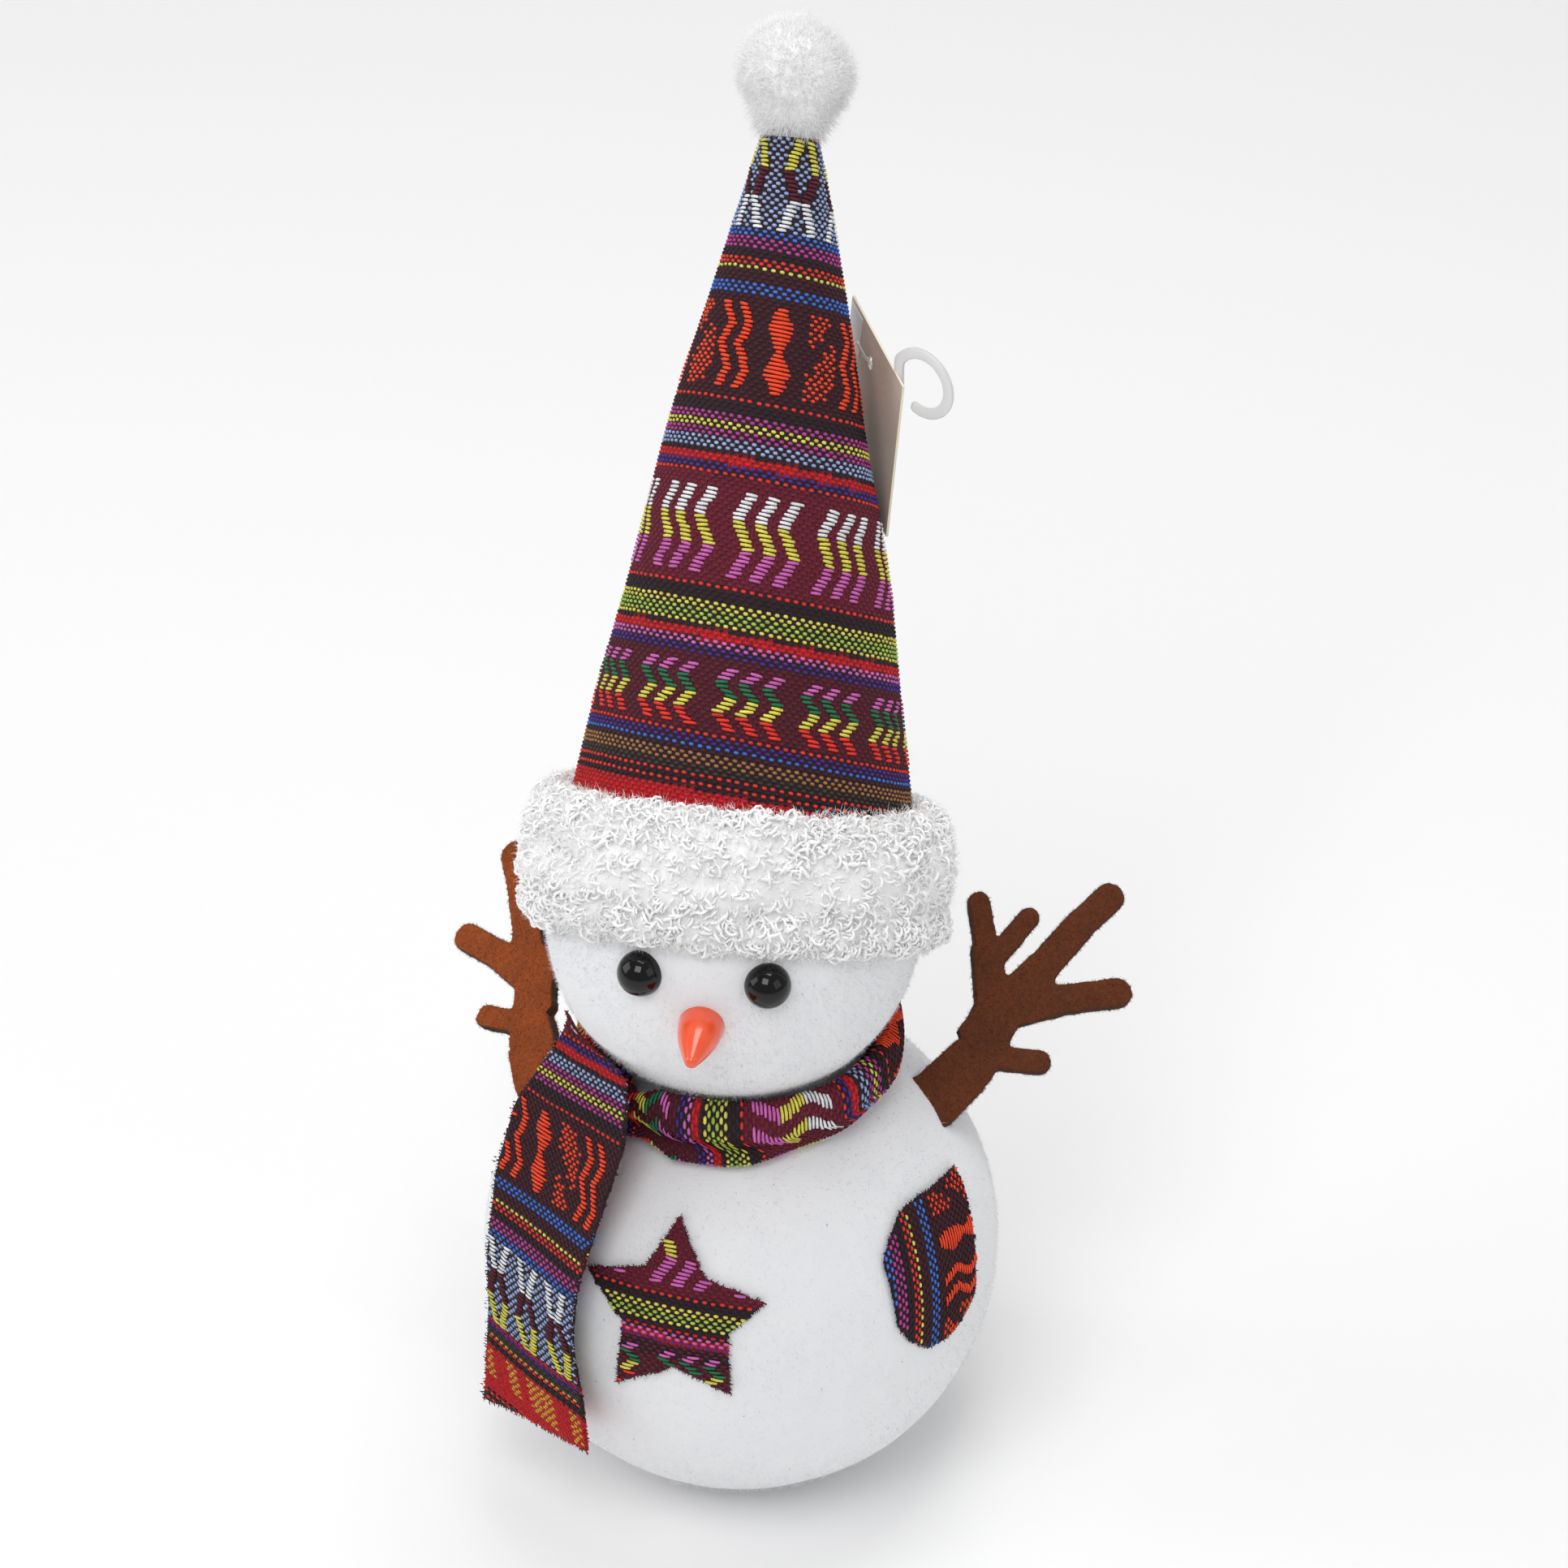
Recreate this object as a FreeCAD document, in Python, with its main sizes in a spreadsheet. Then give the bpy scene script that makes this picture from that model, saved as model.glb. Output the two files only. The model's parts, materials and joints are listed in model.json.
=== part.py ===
import FreeCAD, Part
import math
import os

import Sketcher
from FreeCAD import Placement, Rotation, Vector

# A standing snowman figure: two foam balls under white fleece, a tall striped hat with a curly trim
# and a pompom, a wrapped scarf with one hanging end, felt twig arms, cloth patches and a hang tag.
# Millimetres. The origin is the centre of the flat base, the face looks along -Y and +Z is up.

doc = FreeCAD.newDocument("snowman_figure")
sheet = doc.addObject("Spreadsheet::Sheet", "sizes")

SIZES = {
    # balls, fleece and base
    "body_ball": 110.6,
    "head_ball": 78.6,
    "neck_sink": 8.3,
    "head_shift": -1.4,
    "base_width": 52.0,
    "pad_thickness": 1.5,
    "fleece": 1.2,
    "glue_gap": 0.1,
    "weight_width": 40.0,
    "weight_height": 14.0,
    "dowel_width": 6.0,
    "dowel_length": 44.0,
    "bore_gap": 0.15,
    # face
    "face_turn": 1.0,
    "eye_width": 9.6,
    "eye_spread": 20.0,
    "eye_lift": 13.7,
    "shank_width": 2.0,
    "shank_length": 8.0,
    "nose_width": 9.3,
    "nose_length": 13.1,
    "peg_width": 3.0,
    "peg_length": 9.0,
    # hat, measured up its own axis from the middle of the head
    "hat_tilt": 30.0,
    "hat_lean": -0.8,
    "hat_start": 20.0,
    "hat_tip": 160.5,
    "hat_rim": 72.0,
    "hat_end": 11.8,
    "hat_bulge": 1.75,
    "cloth": 0.8,
    "liner": 1.0,
    "liner_stop": 10.0,
    "trim_width": 90.6,
    "trim_low": -4.0,
    "trim_height": 29.0,
    "pompom_width": 24.4,
    "knot_width": 3.2,
    "knot_rise": 2.1,
    "knot_gap": 0.3,
    "pompom_lift": 0.9,
    # scarf
    "collar_width": 69.2,
    "collar_seat": 66.0,
    "collar_wall": 4.2,
    "scarf_width": 36.0,
    "scarf_lift": 1.7,
    "scarf_drop": 21.4,
    "scarf_top": 15.6,
    "scarf_side": 3.0,
    "scarf_turn": -43.0,
    "scarf_roll": 16.0,
    # patches
    "patch_cloth": 0.8,
    "star_reach": 21.0,
    "star_waist": 11.0,
    "star_turn": -4.8,
    "star_lift": 21.7,
    "side_reach": 16.5,
    "side_turn": 62.2,
    "side_lift": 20.2,
    # arms
    "felt": 3.0,
    "arm_reach": 61.0,
    "arm_root": 12.6,
    "arm_hinge": 4.6,
    "arm_gap": 0.3,
    "tab_depth": 9.0,
    # hang tag
    "card_width": 37.5,
    "card_height": 36.0,
    "card_thickness": 0.5,
    "hole_width": 3.0,
    "hole_drop": 7.0,
    "hole_back": 15.8,
    "thread_width": 0.7,
    "thread_stand": 1.0,
    "bar_width": 1.0,
    "bar_length": 5.0,
    "hook_width": 16.0,
    "hook_stroke": 2.5,
    "hook_thickness": 1.0,
    "tag_height": 120.0,
}

for row, (alias, number) in enumerate(SIZES.items(), start=1):
    sheet.set(f"A{row}", alias)
    sheet.set(f"B{row}", str(number))
    sheet.setAlias(f"B{row}", alias)
doc.recompute()


def amount(expression):
    """The value of an expression over the sheet's cells."""
    found = sheet.evalExpression(expression)
    return float(getattr(found, "Value", found))


BODY_RADIUS = "sizes.body_ball / 2"
HEAD_RADIUS = "sizes.head_ball / 2"
BODY_HEIGHT = f"sizes.pad_thickness + sqrt(pow({BODY_RADIUS}; 2) - pow(sizes.base_width / 2; 2))"
NECK_RISE = f"{BODY_RADIUS} + {HEAD_RADIUS} - sizes.neck_sink"

BODY = Vector(0, 0, amount(BODY_HEIGHT))
HEAD = BODY + Vector(amount("sizes.head_shift"), 0, amount(NECK_RISE))


# ---- helpers -------------------------------------------------------------------------------


def bind(thing, **expressions):
    for name, expression in expressions.items():
        thing.setExpression(name, expression)


def ball(name, radius, centre):
    thing = doc.addObject("Part::Sphere", name)
    bind(thing, Radius=radius)
    thing.Placement = Placement(centre, Rotation())
    return thing


def drum(name, radius, height, placement):
    thing = doc.addObject("Part::Cylinder", name)
    bind(thing, Radius=radius, Height=height)
    thing.Placement = placement
    return thing


def block(name, length, width, height, placement):
    thing = doc.addObject("Part::Box", name)
    bind(thing, Length=length, Width=width, Height=height)
    thing.Placement = placement
    return thing


def fused(name, pieces):
    thing = doc.addObject("Part::MultiFuse", name)
    thing.Shapes = pieces
    return thing


def cut(name, base, tools):
    """The base less every tool."""
    thing = doc.addObject("Part::Cut", name)
    thing.Base = base
    thing.Tool = tools[0] if len(tools) == 1 else fused(name + "_tools", tools)
    return thing


def common(name, first, second):
    thing = doc.addObject("Part::MultiCommon", name)
    thing.Shapes = [first, second]
    return thing


def bound_point(sketch, edge, end, axis, expression):
    """Holds one coordinate of a sketch point at an expression of the sheet."""
    value = amount(expression)
    if abs(value) < 1e-9:
        line = -2 if axis == "X" else -1
        sketch.addConstraint(Sketcher.Constraint("PointOnObject", edge, end, line))
        return
    if value > 0:
        held = Sketcher.Constraint("Distance" + axis, -1, 1, edge, end, value)
        wanted = expression
    else:
        held = Sketcher.Constraint("Distance" + axis, edge, end, -1, 1, -value)
        wanted = f"-({expression})"
    index = sketch.addConstraint(held)
    sketch.setExpression(f"Constraints[{index}]", wanted)


def outline(body, name, plane, corners):
    """A closed outline of straight edges on one of the body's own planes."""
    sketch = body.newObject("Sketcher::SketchObject", name)
    ground = next(f for f in body.Origin.OriginFeatures if f.Role == plane)
    sketch.AttachmentSupport = (ground, [""])
    sketch.MapMode = "FlatFace"
    spots = [Vector(amount(x), amount(y), 0) for x, y in corners]
    for start, stop in zip(spots, spots[1:] + spots[:1]):
        sketch.addGeometry(Part.LineSegment(start, stop), False)
    for edge, (x, y) in enumerate(corners):
        following = (edge + 1) % len(corners)
        sketch.addConstraint(Sketcher.Constraint("Coincident", edge, 2, following, 1))
        bound_point(sketch, edge, 1, "X", x)
        bound_point(sketch, edge, 1, "Y", y)
    return sketch


def turned(name, corners):
    """A solid turned about Z from an outline of (radius, height) corners."""
    body = doc.addObject("PartDesign::Body", name)
    sketch = outline(body, name + "_outline", "XZ_Plane", corners)
    turn = body.newObject("PartDesign::Revolution", name + "_turn")
    turn.Profile = sketch
    turn.ReferenceAxis = (sketch, ["V_Axis"])
    turn.Angle = 360
    return body


def plate(name, corners, thickness):
    """A flat plate in XY, with its middle at height 0."""
    body = doc.addObject("PartDesign::Body", name)
    sketch = outline(body, name + "_outline", "XY_Plane", corners)
    pad = body.newObject("PartDesign::Pad", name + "_pad")
    pad.Profile = sketch
    pad.SideType = "Symmetric"
    bind(pad, Length=thickness)
    return body


def outward(turn, lift):
    """The direction at so many degrees round from the front, towards +X, and so many up."""
    turn = math.radians(turn)
    lift = math.radians(lift)
    level = math.cos(lift)
    return Vector(math.sin(turn) * level, -math.cos(turn) * level, math.sin(lift))


def facing(centre, turn, lift, reach):
    """A place on a ball: Z outward, X level and Y up the surface."""
    out = outward(turn, lift)
    level = Vector(math.cos(math.radians(turn)), math.sin(math.radians(turn)), 0)
    return Placement(centre + out * reach, Rotation(level, out.cross(level), out, "ZXY"))


def framed(origin, along, across):
    """A place whose X runs along one direction and whose Y runs across."""
    along = Vector(along).normalize()
    up = along.cross(Vector(across)).normalize()
    return Placement(origin, Rotation(along, up.cross(along), up, "ZXY"))


parts = {}


def keep(name, thing, placement=None):
    """Marks a finished piece as a sub-part of the figure under this name."""
    thing.Label = name
    if placement is not None:
        thing.Placement = placement
    parts[name] = thing


# ---- the two balls, the base and the dowel between them --------------------------------------

room = "2 * sizes.body_ball"
half_room = amount("sizes.body_ball")
underside = amount("sizes.pad_thickness - " + room)
below = Placement(Vector(-half_room, -half_room, underside), Rotation())
head_seat = f"{HEAD_RADIUS} + sizes.glue_gap"
floor = Placement(Vector(0, 0, amount("sizes.pad_thickness")), Rotation())
NECK = BODY + Vector(0, 0, amount(f"{BODY_RADIUS} - sizes.neck_sink / 2"))
dowel_low = NECK - Vector(0, 0, amount("sizes.dowel_length / 2"))
bore_low = dowel_low - Vector(0, 0, amount("sizes.bore_gap"))

# Each arm's root: where its slit is on the ball, the line of the slit, and which way the arm leaves.
ARMS = {
    "right": (99.4, 42.1, Vector(0.627, -0.506, -0.593), Vector(0.725, 0.657, 0.206)),
    "left": (-104.1, 30.3, Vector(-0.688, -0.349, -0.636), Vector(-0.512, 0.855, 0.085)),
}


def arm_place(side):
    turn, lift, along, across = ARMS[side]
    return framed(BODY + outward(turn, lift) * amount(BODY_RADIUS), along, across)


def in_arm(side, x, y, z=0.0):
    """A placement in the arm's own frame: x along the slit, y out of the ball."""
    return arm_place(side).multiply(Placement(Vector(x, y, z), Rotation()))


def arm_slot(name, side):
    """The slit in the foam and the fleece that the arm's tab is glued into."""
    gap = amount("sizes.bore_gap")
    corner = (
        -amount("sizes.arm_root / 2") - gap,
        -amount("sizes.tab_depth") - gap,
        -amount("sizes.felt / 2") - gap,
    )
    return block(
        name,
        "sizes.arm_root + 2 * sizes.bore_gap",
        "sizes.tab_depth + 2 * sizes.arm_hinge",
        "sizes.felt + 2 * sizes.bore_gap",
        in_arm(side, *corner),
    )


def ground(name):
    return block(name, room, room, room, below)


core = cut(
    "foam_body",
    ball("foam_body_ball", f"{BODY_RADIUS} - sizes.fleece - sizes.glue_gap", BODY),
    [
        ground("foam_ground"),
        ball("foam_head_seat", head_seat, HEAD),
        drum(
            "weight_pocket",
            "sizes.weight_width / 2 + sizes.bore_gap",
            "sizes.weight_height + sizes.bore_gap",
            floor,
        ),
        drum(
            "body_bore",
            "sizes.dowel_width / 2 + sizes.bore_gap",
            "sizes.dowel_length",
            Placement(bore_low, Rotation()),
        ),
        arm_slot("foam_slot_right", "right"),
        arm_slot("foam_slot_left", "left"),
    ],
)
keep("body_core", core)

skin = cut(
    "fleece_body",
    ball("fleece_body_ball", BODY_RADIUS, BODY),
    [
        ball("fleece_body_inside", f"{BODY_RADIUS} - sizes.fleece", BODY),
        ground("fleece_ground"),
        ball("fleece_head_seat", head_seat, HEAD),
        arm_slot("fleece_slot_right", "right"),
        arm_slot("fleece_slot_left", "left"),
    ],
)
keep("body_fleece", skin)

keep(
    "base_pad",
    drum("pad", "sizes.base_width / 2", "sizes.pad_thickness", Placement()),
)
keep(
    "base_weight",
    drum("weight", "sizes.weight_width / 2", "sizes.weight_height", floor),
)
keep(
    "neck_dowel",
    drum("dowel", "sizes.dowel_width / 2", "sizes.dowel_length", Placement(dowel_low, Rotation())),
)


# ---- face ------------------------------------------------------------------------------------

EYES = {"left": -1, "right": 1}


def eye_place(side, reach):
    turn = amount("sizes.face_turn") + EYES[side] * amount("sizes.eye_spread")
    return facing(HEAD, turn, amount("sizes.eye_lift"), amount(reach))


def nose_place(reach):
    return facing(HEAD, amount("sizes.face_turn"), 0.0, amount(reach))


def face_bores(name):
    """The holes for the eyes' shanks, the nose's peg and the dowel."""
    deep = f"{HEAD_RADIUS} - sizes.shank_length - sizes.bore_gap"
    bores = []
    for side in EYES:
        bores.append(
            drum(
                f"{name}_eye_bore_{side}",
                "sizes.shank_width / 2 + sizes.bore_gap",
                "sizes.shank_length * 1.5",
                eye_place(side, deep),
            )
        )
    bores.append(
        drum(
            name + "_peg_bore",
            "sizes.peg_width / 2 + sizes.bore_gap",
            "sizes.peg_length * 1.5",
            nose_place(f"{HEAD_RADIUS} - sizes.peg_length - sizes.bore_gap"),
        )
    )
    bores.append(
        drum(
            name + "_dowel_bore",
            "sizes.dowel_width / 2 + sizes.bore_gap",
            "sizes.dowel_length + 2 * sizes.bore_gap",
            Placement(bore_low, Rotation()),
        )
    )
    return bores


keep(
    "head_core",
    cut(
        "foam_head",
        ball("foam_head_ball", f"{HEAD_RADIUS} - sizes.fleece - sizes.glue_gap", HEAD),
        face_bores("foam"),
    ),
)
keep(
    "head_fleece",
    cut(
        "fleece_head",
        ball("fleece_head_ball", HEAD_RADIUS, HEAD),
        [ball("fleece_head_inside", f"{HEAD_RADIUS} - sizes.fleece", HEAD)] + face_bores("fleece"),
    ),
)

for side in EYES:
    dome = cut(
        f"eye_{side}_dome",
        ball(
            f"eye_{side}_ball",
            "sizes.eye_width / 2",
            eye_place(side, HEAD_RADIUS).Base,
        ),
        [ball(f"eye_{side}_seat", head_seat, HEAD)],
    )
    shank = drum(
        f"eye_{side}_shank",
        "sizes.shank_width / 2",
        "sizes.shank_length + sizes.eye_width / 4",
        eye_place(side, f"{HEAD_RADIUS} - sizes.shank_length"),
    )
    keep(f"eye_{side}", fused(f"eye_{side}_whole", [dome, shank]))

NOSE = "sizes.nose_width / 2"
NOSE_END = "sizes.nose_length"
carrot = turned(
    "carrot",
    [
        ("0", "-sizes.nose_width / 4"),
        (NOSE, "-sizes.nose_width / 4"),
        (NOSE, NOSE_END + " * 0.06"),
        (NOSE + " * 0.86", NOSE_END + " * 0.34"),
        (NOSE + " * 0.62", NOSE_END + " * 0.69"),
        (NOSE + " * 0.41", NOSE_END + " * 0.90"),
        (NOSE + " * 0.21", NOSE_END + " * 0.98"),
        ("0", NOSE_END),
    ],
)
carrot.Placement = nose_place(HEAD_RADIUS)
carrot_cut = cut("carrot_seated", carrot, [ball("carrot_seat", head_seat, HEAD)])
peg = drum(
    "peg",
    "sizes.peg_width / 2",
    "sizes.peg_length + sizes.nose_length / 4",
    nose_place(f"{HEAD_RADIUS} - sizes.peg_length"),
)
keep("nose", fused("nose_whole", [carrot_cut, peg]))


# ---- hat -------------------------------------------------------------------------------------
# The hat has its own frame: the origin is the middle of the head and Z is the hat's axis.

tilt = math.radians(amount("sizes.hat_tilt"))
lean = math.radians(amount("sizes.hat_lean"))
HAT_AXIS = Vector(
    math.sin(lean),
    math.sin(tilt) * math.cos(lean),
    math.cos(tilt) * math.cos(lean),
)
HAT = framed(HEAD, Vector(1, 0, 0).cross(HAT_AXIS).cross(HAT_AXIS) * -1, HAT_AXIS.cross(Vector(1, 0, 0)))
STEPS = 6

# The rim sits at its own height, or as high as the liner lets it go down over the head.
rim_inside = "sizes.hat_rim / 2 - sizes.cloth - sizes.bore_gap - sizes.liner"
rim_seat = f"sqrt(max(pow({HEAD_RADIUS} + sizes.glue_gap; 2) - pow({rim_inside}; 2); 0))"
HAT_START = f"max(sizes.hat_start; {rim_seat})"


def hat_edge(share, inset):
    """The radius of the hat at a share of its height, less an inset."""
    straight = f"sizes.hat_end / 2 + (sizes.hat_rim - sizes.hat_end) / 2 * {1 - share:.3f}"
    return f"{straight} + 4 * sizes.hat_bulge * {share * (1 - share):.4f} - ({inset})"


def hat_wall(top, outside, inside, closed):
    """An outline up the outside of a cone wall and down its inside."""
    shares = [step / STEPS for step in range(STEPS + 1)]
    start = HAT_START
    climb = f"({top} - {start})"
    up = [(hat_edge(s, outside), f"{start} + {climb} * {s:.4f}") for s in shares]
    down = [(hat_edge(s, inside), f"{start} + {climb} * {s:.4f}") for s in reversed(shares)]
    if closed:
        roof = f"{top} - sizes.cloth"
        down[0] = (down[0][0], roof)
        return up + [("0", top), ("0", roof)] + down
    return up + down


keep(
    "hat_cloth",
    turned("cloth_cone", hat_wall("sizes.hat_tip", "0", "sizes.cloth", True)),
    HAT,
)
liner_out = "sizes.cloth + sizes.bore_gap"
keep(
    "hat_liner",
    turned(
        "liner_cone",
        hat_wall("(sizes.hat_tip - sizes.liner_stop)", liner_out, liner_out + " + sizes.liner", False),
    ),
    HAT,
)

TRIM = "sizes.trim_width / 2"
LOW = "sizes.trim_low"
TALL = "sizes.trim_height"
sleeve = "sizes.hat_rim / 2 + 2 * sizes.bore_gap"
band = turned(
    "trim_band",
    [
        (sleeve, LOW),
        (TRIM + " * 0.96", LOW),
        (TRIM, f"{LOW} + {TALL} * 0.15"),
        (TRIM, f"{LOW} + {TALL} * 0.45"),
        (TRIM + " * 0.97", f"{LOW} + {TALL} * 0.75"),
        (TRIM + " * 0.92", f"{LOW} + {TALL} * 0.95"),
        (TRIM + " * 0.88", f"{LOW} + {TALL}"),
        (sleeve, f"{LOW} + {TALL}"),
    ],
)
band.Placement = HAT
keep("hat_trim", cut("trim_seated", band, [ball("trim_seat", f"{HEAD_RADIUS} + 2 * sizes.glue_gap", HEAD)]))


def on_hat(height):
    return HEAD + HAT_AXIS * amount(height)


KNOT = "sizes.hat_tip + sizes.knot_rise"
POMPOM = "sizes.hat_tip + sizes.pompom_lift + sizes.pompom_width / 2"
knot = ball("stitch_knot", "sizes.knot_width / 2", Vector())
knot.Placement = Placement(on_hat(KNOT), HAT.Rotation)
keep(
    "pompom_stitch",
    fused(
        "stitch",
        [
            knot,
            drum(
                "stitch_thread",
                "sizes.knot_width / 4",
                "sizes.knot_rise * 0.8",
                Placement(on_hat("sizes.hat_tip"), HAT.Rotation),
            ),
        ],
    ),
)
keep(
    "pompom",
    cut(
        "pompom_ball_cut",
        ball("pompom_ball", "sizes.pompom_width / 2", on_hat(POMPOM)),
        [ball("pompom_socket", "sizes.knot_width / 2 + sizes.knot_gap", on_hat(KNOT))],
    ),
)


# ---- scarf -----------------------------------------------------------------------------------

seat_rise = f"sqrt(pow({BODY_RADIUS}; 2) - pow(sizes.collar_seat / 2; 2))"
# The chin is met above the collar's seat, or nearer in where the head is too narrow for that.
CHIN_SHARE = 0.84
chin_out = f"min(sizes.collar_seat / 2; {HEAD_RADIUS} * {CHIN_SHARE})"
chin_rise = f"{NECK_RISE} - sqrt(pow({HEAD_RADIUS}; 2) - pow({chin_out}; 2))"
gorge = f"({chin_rise} - ({seat_rise}))"
inside = "sizes.collar_width / 2 - sizes.collar_wall"


def in_gorge(share):
    """A height between the top of the body and the bottom of the head at the collar."""
    return f"{seat_rise} + {gorge} * {share}"


ring = turned(
    "collar_ring",
    [
        (inside, in_gorge(0.07)),
        ("sizes.collar_seat / 2", in_gorge(0.01)),
        ("sizes.collar_width / 2", in_gorge(0.25)),
        ("sizes.collar_width / 2", in_gorge(0.52)),
        ("sizes.collar_seat / 2", in_gorge(0.74)),
        (inside, in_gorge(0.74)),
    ],
)
ring.Placement = Placement(BODY, Rotation())
keep(
    "scarf_collar",
    cut(
        "collar_seated",
        ring,
        [
            ball("collar_body_seat", f"{BODY_RADIUS} + 2 * sizes.glue_gap", BODY),
            ball("collar_head_seat", f"{HEAD_RADIUS} + 2 * sizes.glue_gap", HEAD),
        ],
    ),
)

# The hanging end is a strip that leaves the collar, touches the body at a tangent, follows it to
# its widest and then hangs straight. It is drawn in a plane through the middle of the body, with
# x outward and y up, and pushed sideways to its width.
turn = math.radians(amount("sizes.scarf_turn"))
roll = math.radians(amount("sizes.scarf_roll"))
SCARF_OUT = Vector(math.sin(turn), -math.cos(turn), 0)
level = Vector(math.cos(turn), math.sin(turn), 0)
SCARF_SIDE = level * math.cos(roll) + Vector(0, 0, math.sin(roll))
SCARF = framed(BODY, SCARF_OUT, SCARF_OUT.cross(SCARF_SIDE))
scarf_inner = amount(f"{BODY_RADIUS} + sizes.scarf_lift")
scarf_cloth = amount("sizes.cloth")
scarf_top = Vector(
    amount("sizes.collar_width / 2 + sizes.scarf_lift"),
    amount(in_gorge(0) + " + sizes.scarf_top"),
    0,
)
scarf_drop = Vector(0, -amount("sizes.scarf_drop"), 0)


def strip_edge(offset):
    """One face of the strip: a straight run, an arc round the body and a straight drop."""
    radius = scarf_inner + offset
    reach = math.atan2(scarf_top.y, scarf_top.x)
    meets = reach - math.acos(scarf_inner / scarf_top.Length)
    touch = Vector(math.cos(meets), math.sin(meets), 0) * radius
    start = scarf_top + Vector(math.cos(meets), math.sin(meets), 0) * offset
    middle = Vector(math.cos(meets / 2), math.sin(meets / 2), 0) * radius
    side = Vector(radius, 0, 0)
    return [start, touch, middle, side, side + scarf_drop]


near = strip_edge(0.0)
far = strip_edge(scarf_cloth)
edges = [
    Part.makeLine(near[0], near[1]),
    Part.Arc(near[1], near[2], near[3]).toShape(),
    Part.makeLine(near[3], near[4]),
    Part.makeLine(near[4], far[4]),
    Part.makeLine(far[4], far[3]),
    Part.Arc(far[3], far[2], far[1]).toShape(),
    Part.makeLine(far[1], far[0]),
    Part.makeLine(far[0], near[0]),
]
strip = Part.Face(Part.Wire(Part.sortEdges(edges)[0]))
start_side = -amount("sizes.scarf_side + sizes.scarf_width / 2")
strip.translate(Vector(0, 0, start_side))
tail = doc.addObject("Part::Feature", "strip")
tail.Shape = strip.extrude(Vector(0, 0, amount("sizes.scarf_width")))
keep("scarf_tail", tail, SCARF)


# ---- patches ---------------------------------------------------------------------------------


def patch(name, corners, turn, lift):
    """A cloth shape that lies on the body's fleece."""
    prism = plate(name + "_prism", corners, BODY_RADIUS)
    prism.Placement = facing(BODY, amount(turn), amount(lift), amount(BODY_RADIUS))
    near_face = f"{BODY_RADIUS} + sizes.glue_gap"
    shell = cut(
        name + "_shell",
        ball(name + "_outside", near_face + " + sizes.patch_cloth", BODY),
        [ball(name + "_inside", near_face, BODY)],
    )
    keep(name, common(name + "_cloth", prism, shell))


POINTS = 5
FIRST_TIP = 92
star = []
for tip in range(POINTS):
    for reach, angle in (
        ("sizes.star_reach", FIRST_TIP + 360 / POINTS * tip),
        ("sizes.star_waist", FIRST_TIP + 360 / POINTS * (tip + 0.5)),
    ):
        star.append((f"{reach} * cos({angle} deg)", f"{reach} * sin({angle} deg)"))
patch("star_patch", star, "sizes.star_turn", "sizes.star_lift")

# A rounded patch with one pointed corner, as shares of its reach.
LEAF = [
    (1.00, 0.82),
    (0.24, 0.88),
    (-0.36, 0.82),
    (-0.76, 0.48),
    (-0.90, -0.06),
    (-0.85, -0.52),
    (-0.48, -1.00),
    (0.00, -1.13),
    (0.48, -0.96),
    (0.79, -0.36),
    (0.97, 0.24),
]
leaf = [(f"sizes.side_reach * {x}", f"sizes.side_reach * {y}") for x, y in LEAF]
patch("side_patch", leaf, "sizes.side_turn", "sizes.side_lift")


# ---- arms ------------------------------------------------------------------------------------
# Both arms are the same die-cut twig. Each branch is a strip with round ends, from one point to
# another, with its width, all as shares of the arm's reach from the ball.

TWIG = {
    "trunk": [(-0.043, 0.172, -0.090, 0.262, 0.188), (-0.090, 0.262, -0.161, 0.385, 0.172)],
    "stem": [(-0.180, 0.361, -0.352, 0.452, 0.115), (-0.352, 0.452, -0.516, 0.525, 0.082)],
    "side_twig": [(-0.320, 0.467, -0.382, 0.652, 0.075)],
    "top_branch": [
        (-0.164, 0.410, -0.205, 0.590, 0.123),
        (-0.205, 0.590, -0.270, 0.803, 0.111),
        (-0.270, 0.803, -0.300, 0.948, 0.105),
    ],
    "long_branch": [(-0.123, 0.426, -0.082, 0.574, 0.115), (-0.082, 0.574, 0.005, 0.780, 0.105)],
    "small_branch": [(-0.041, 0.238, 0.075, 0.397, 0.085)],
}


def branch(name, side, x0, y0, x1, y1, width):
    """A strip with round ends between two points of the arm's own plane."""
    reach = amount("sizes.arm_reach")
    low = -amount("sizes.felt / 2")
    run = Vector(x1 - x0, y1 - y0, 0)
    across = f"sizes.arm_reach * {width}"
    heading = Rotation(Vector(0, 0, 1), math.degrees(math.atan2(run.y, run.x)))
    half = heading.multVec(Vector(0, -width / 2 * reach, 0))
    corner = Vector(x0 * reach, y0 * reach, low) + half
    strip_place = arm_place(side).multiply(Placement(corner, heading))
    pieces = [
        block(
            name + "_strip",
            f"sizes.arm_reach * {run.Length:.4f}",
            across,
            "sizes.felt",
            strip_place,
        )
    ]
    for end, (x, y) in (("start", (x0, y0)), ("end", (x1, y1))):
        spot = in_arm(side, x * reach, y * reach, low)
        pieces.append(drum(f"{name}_{end}", across + " / 2", "sizes.felt", spot))
    return pieces


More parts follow.
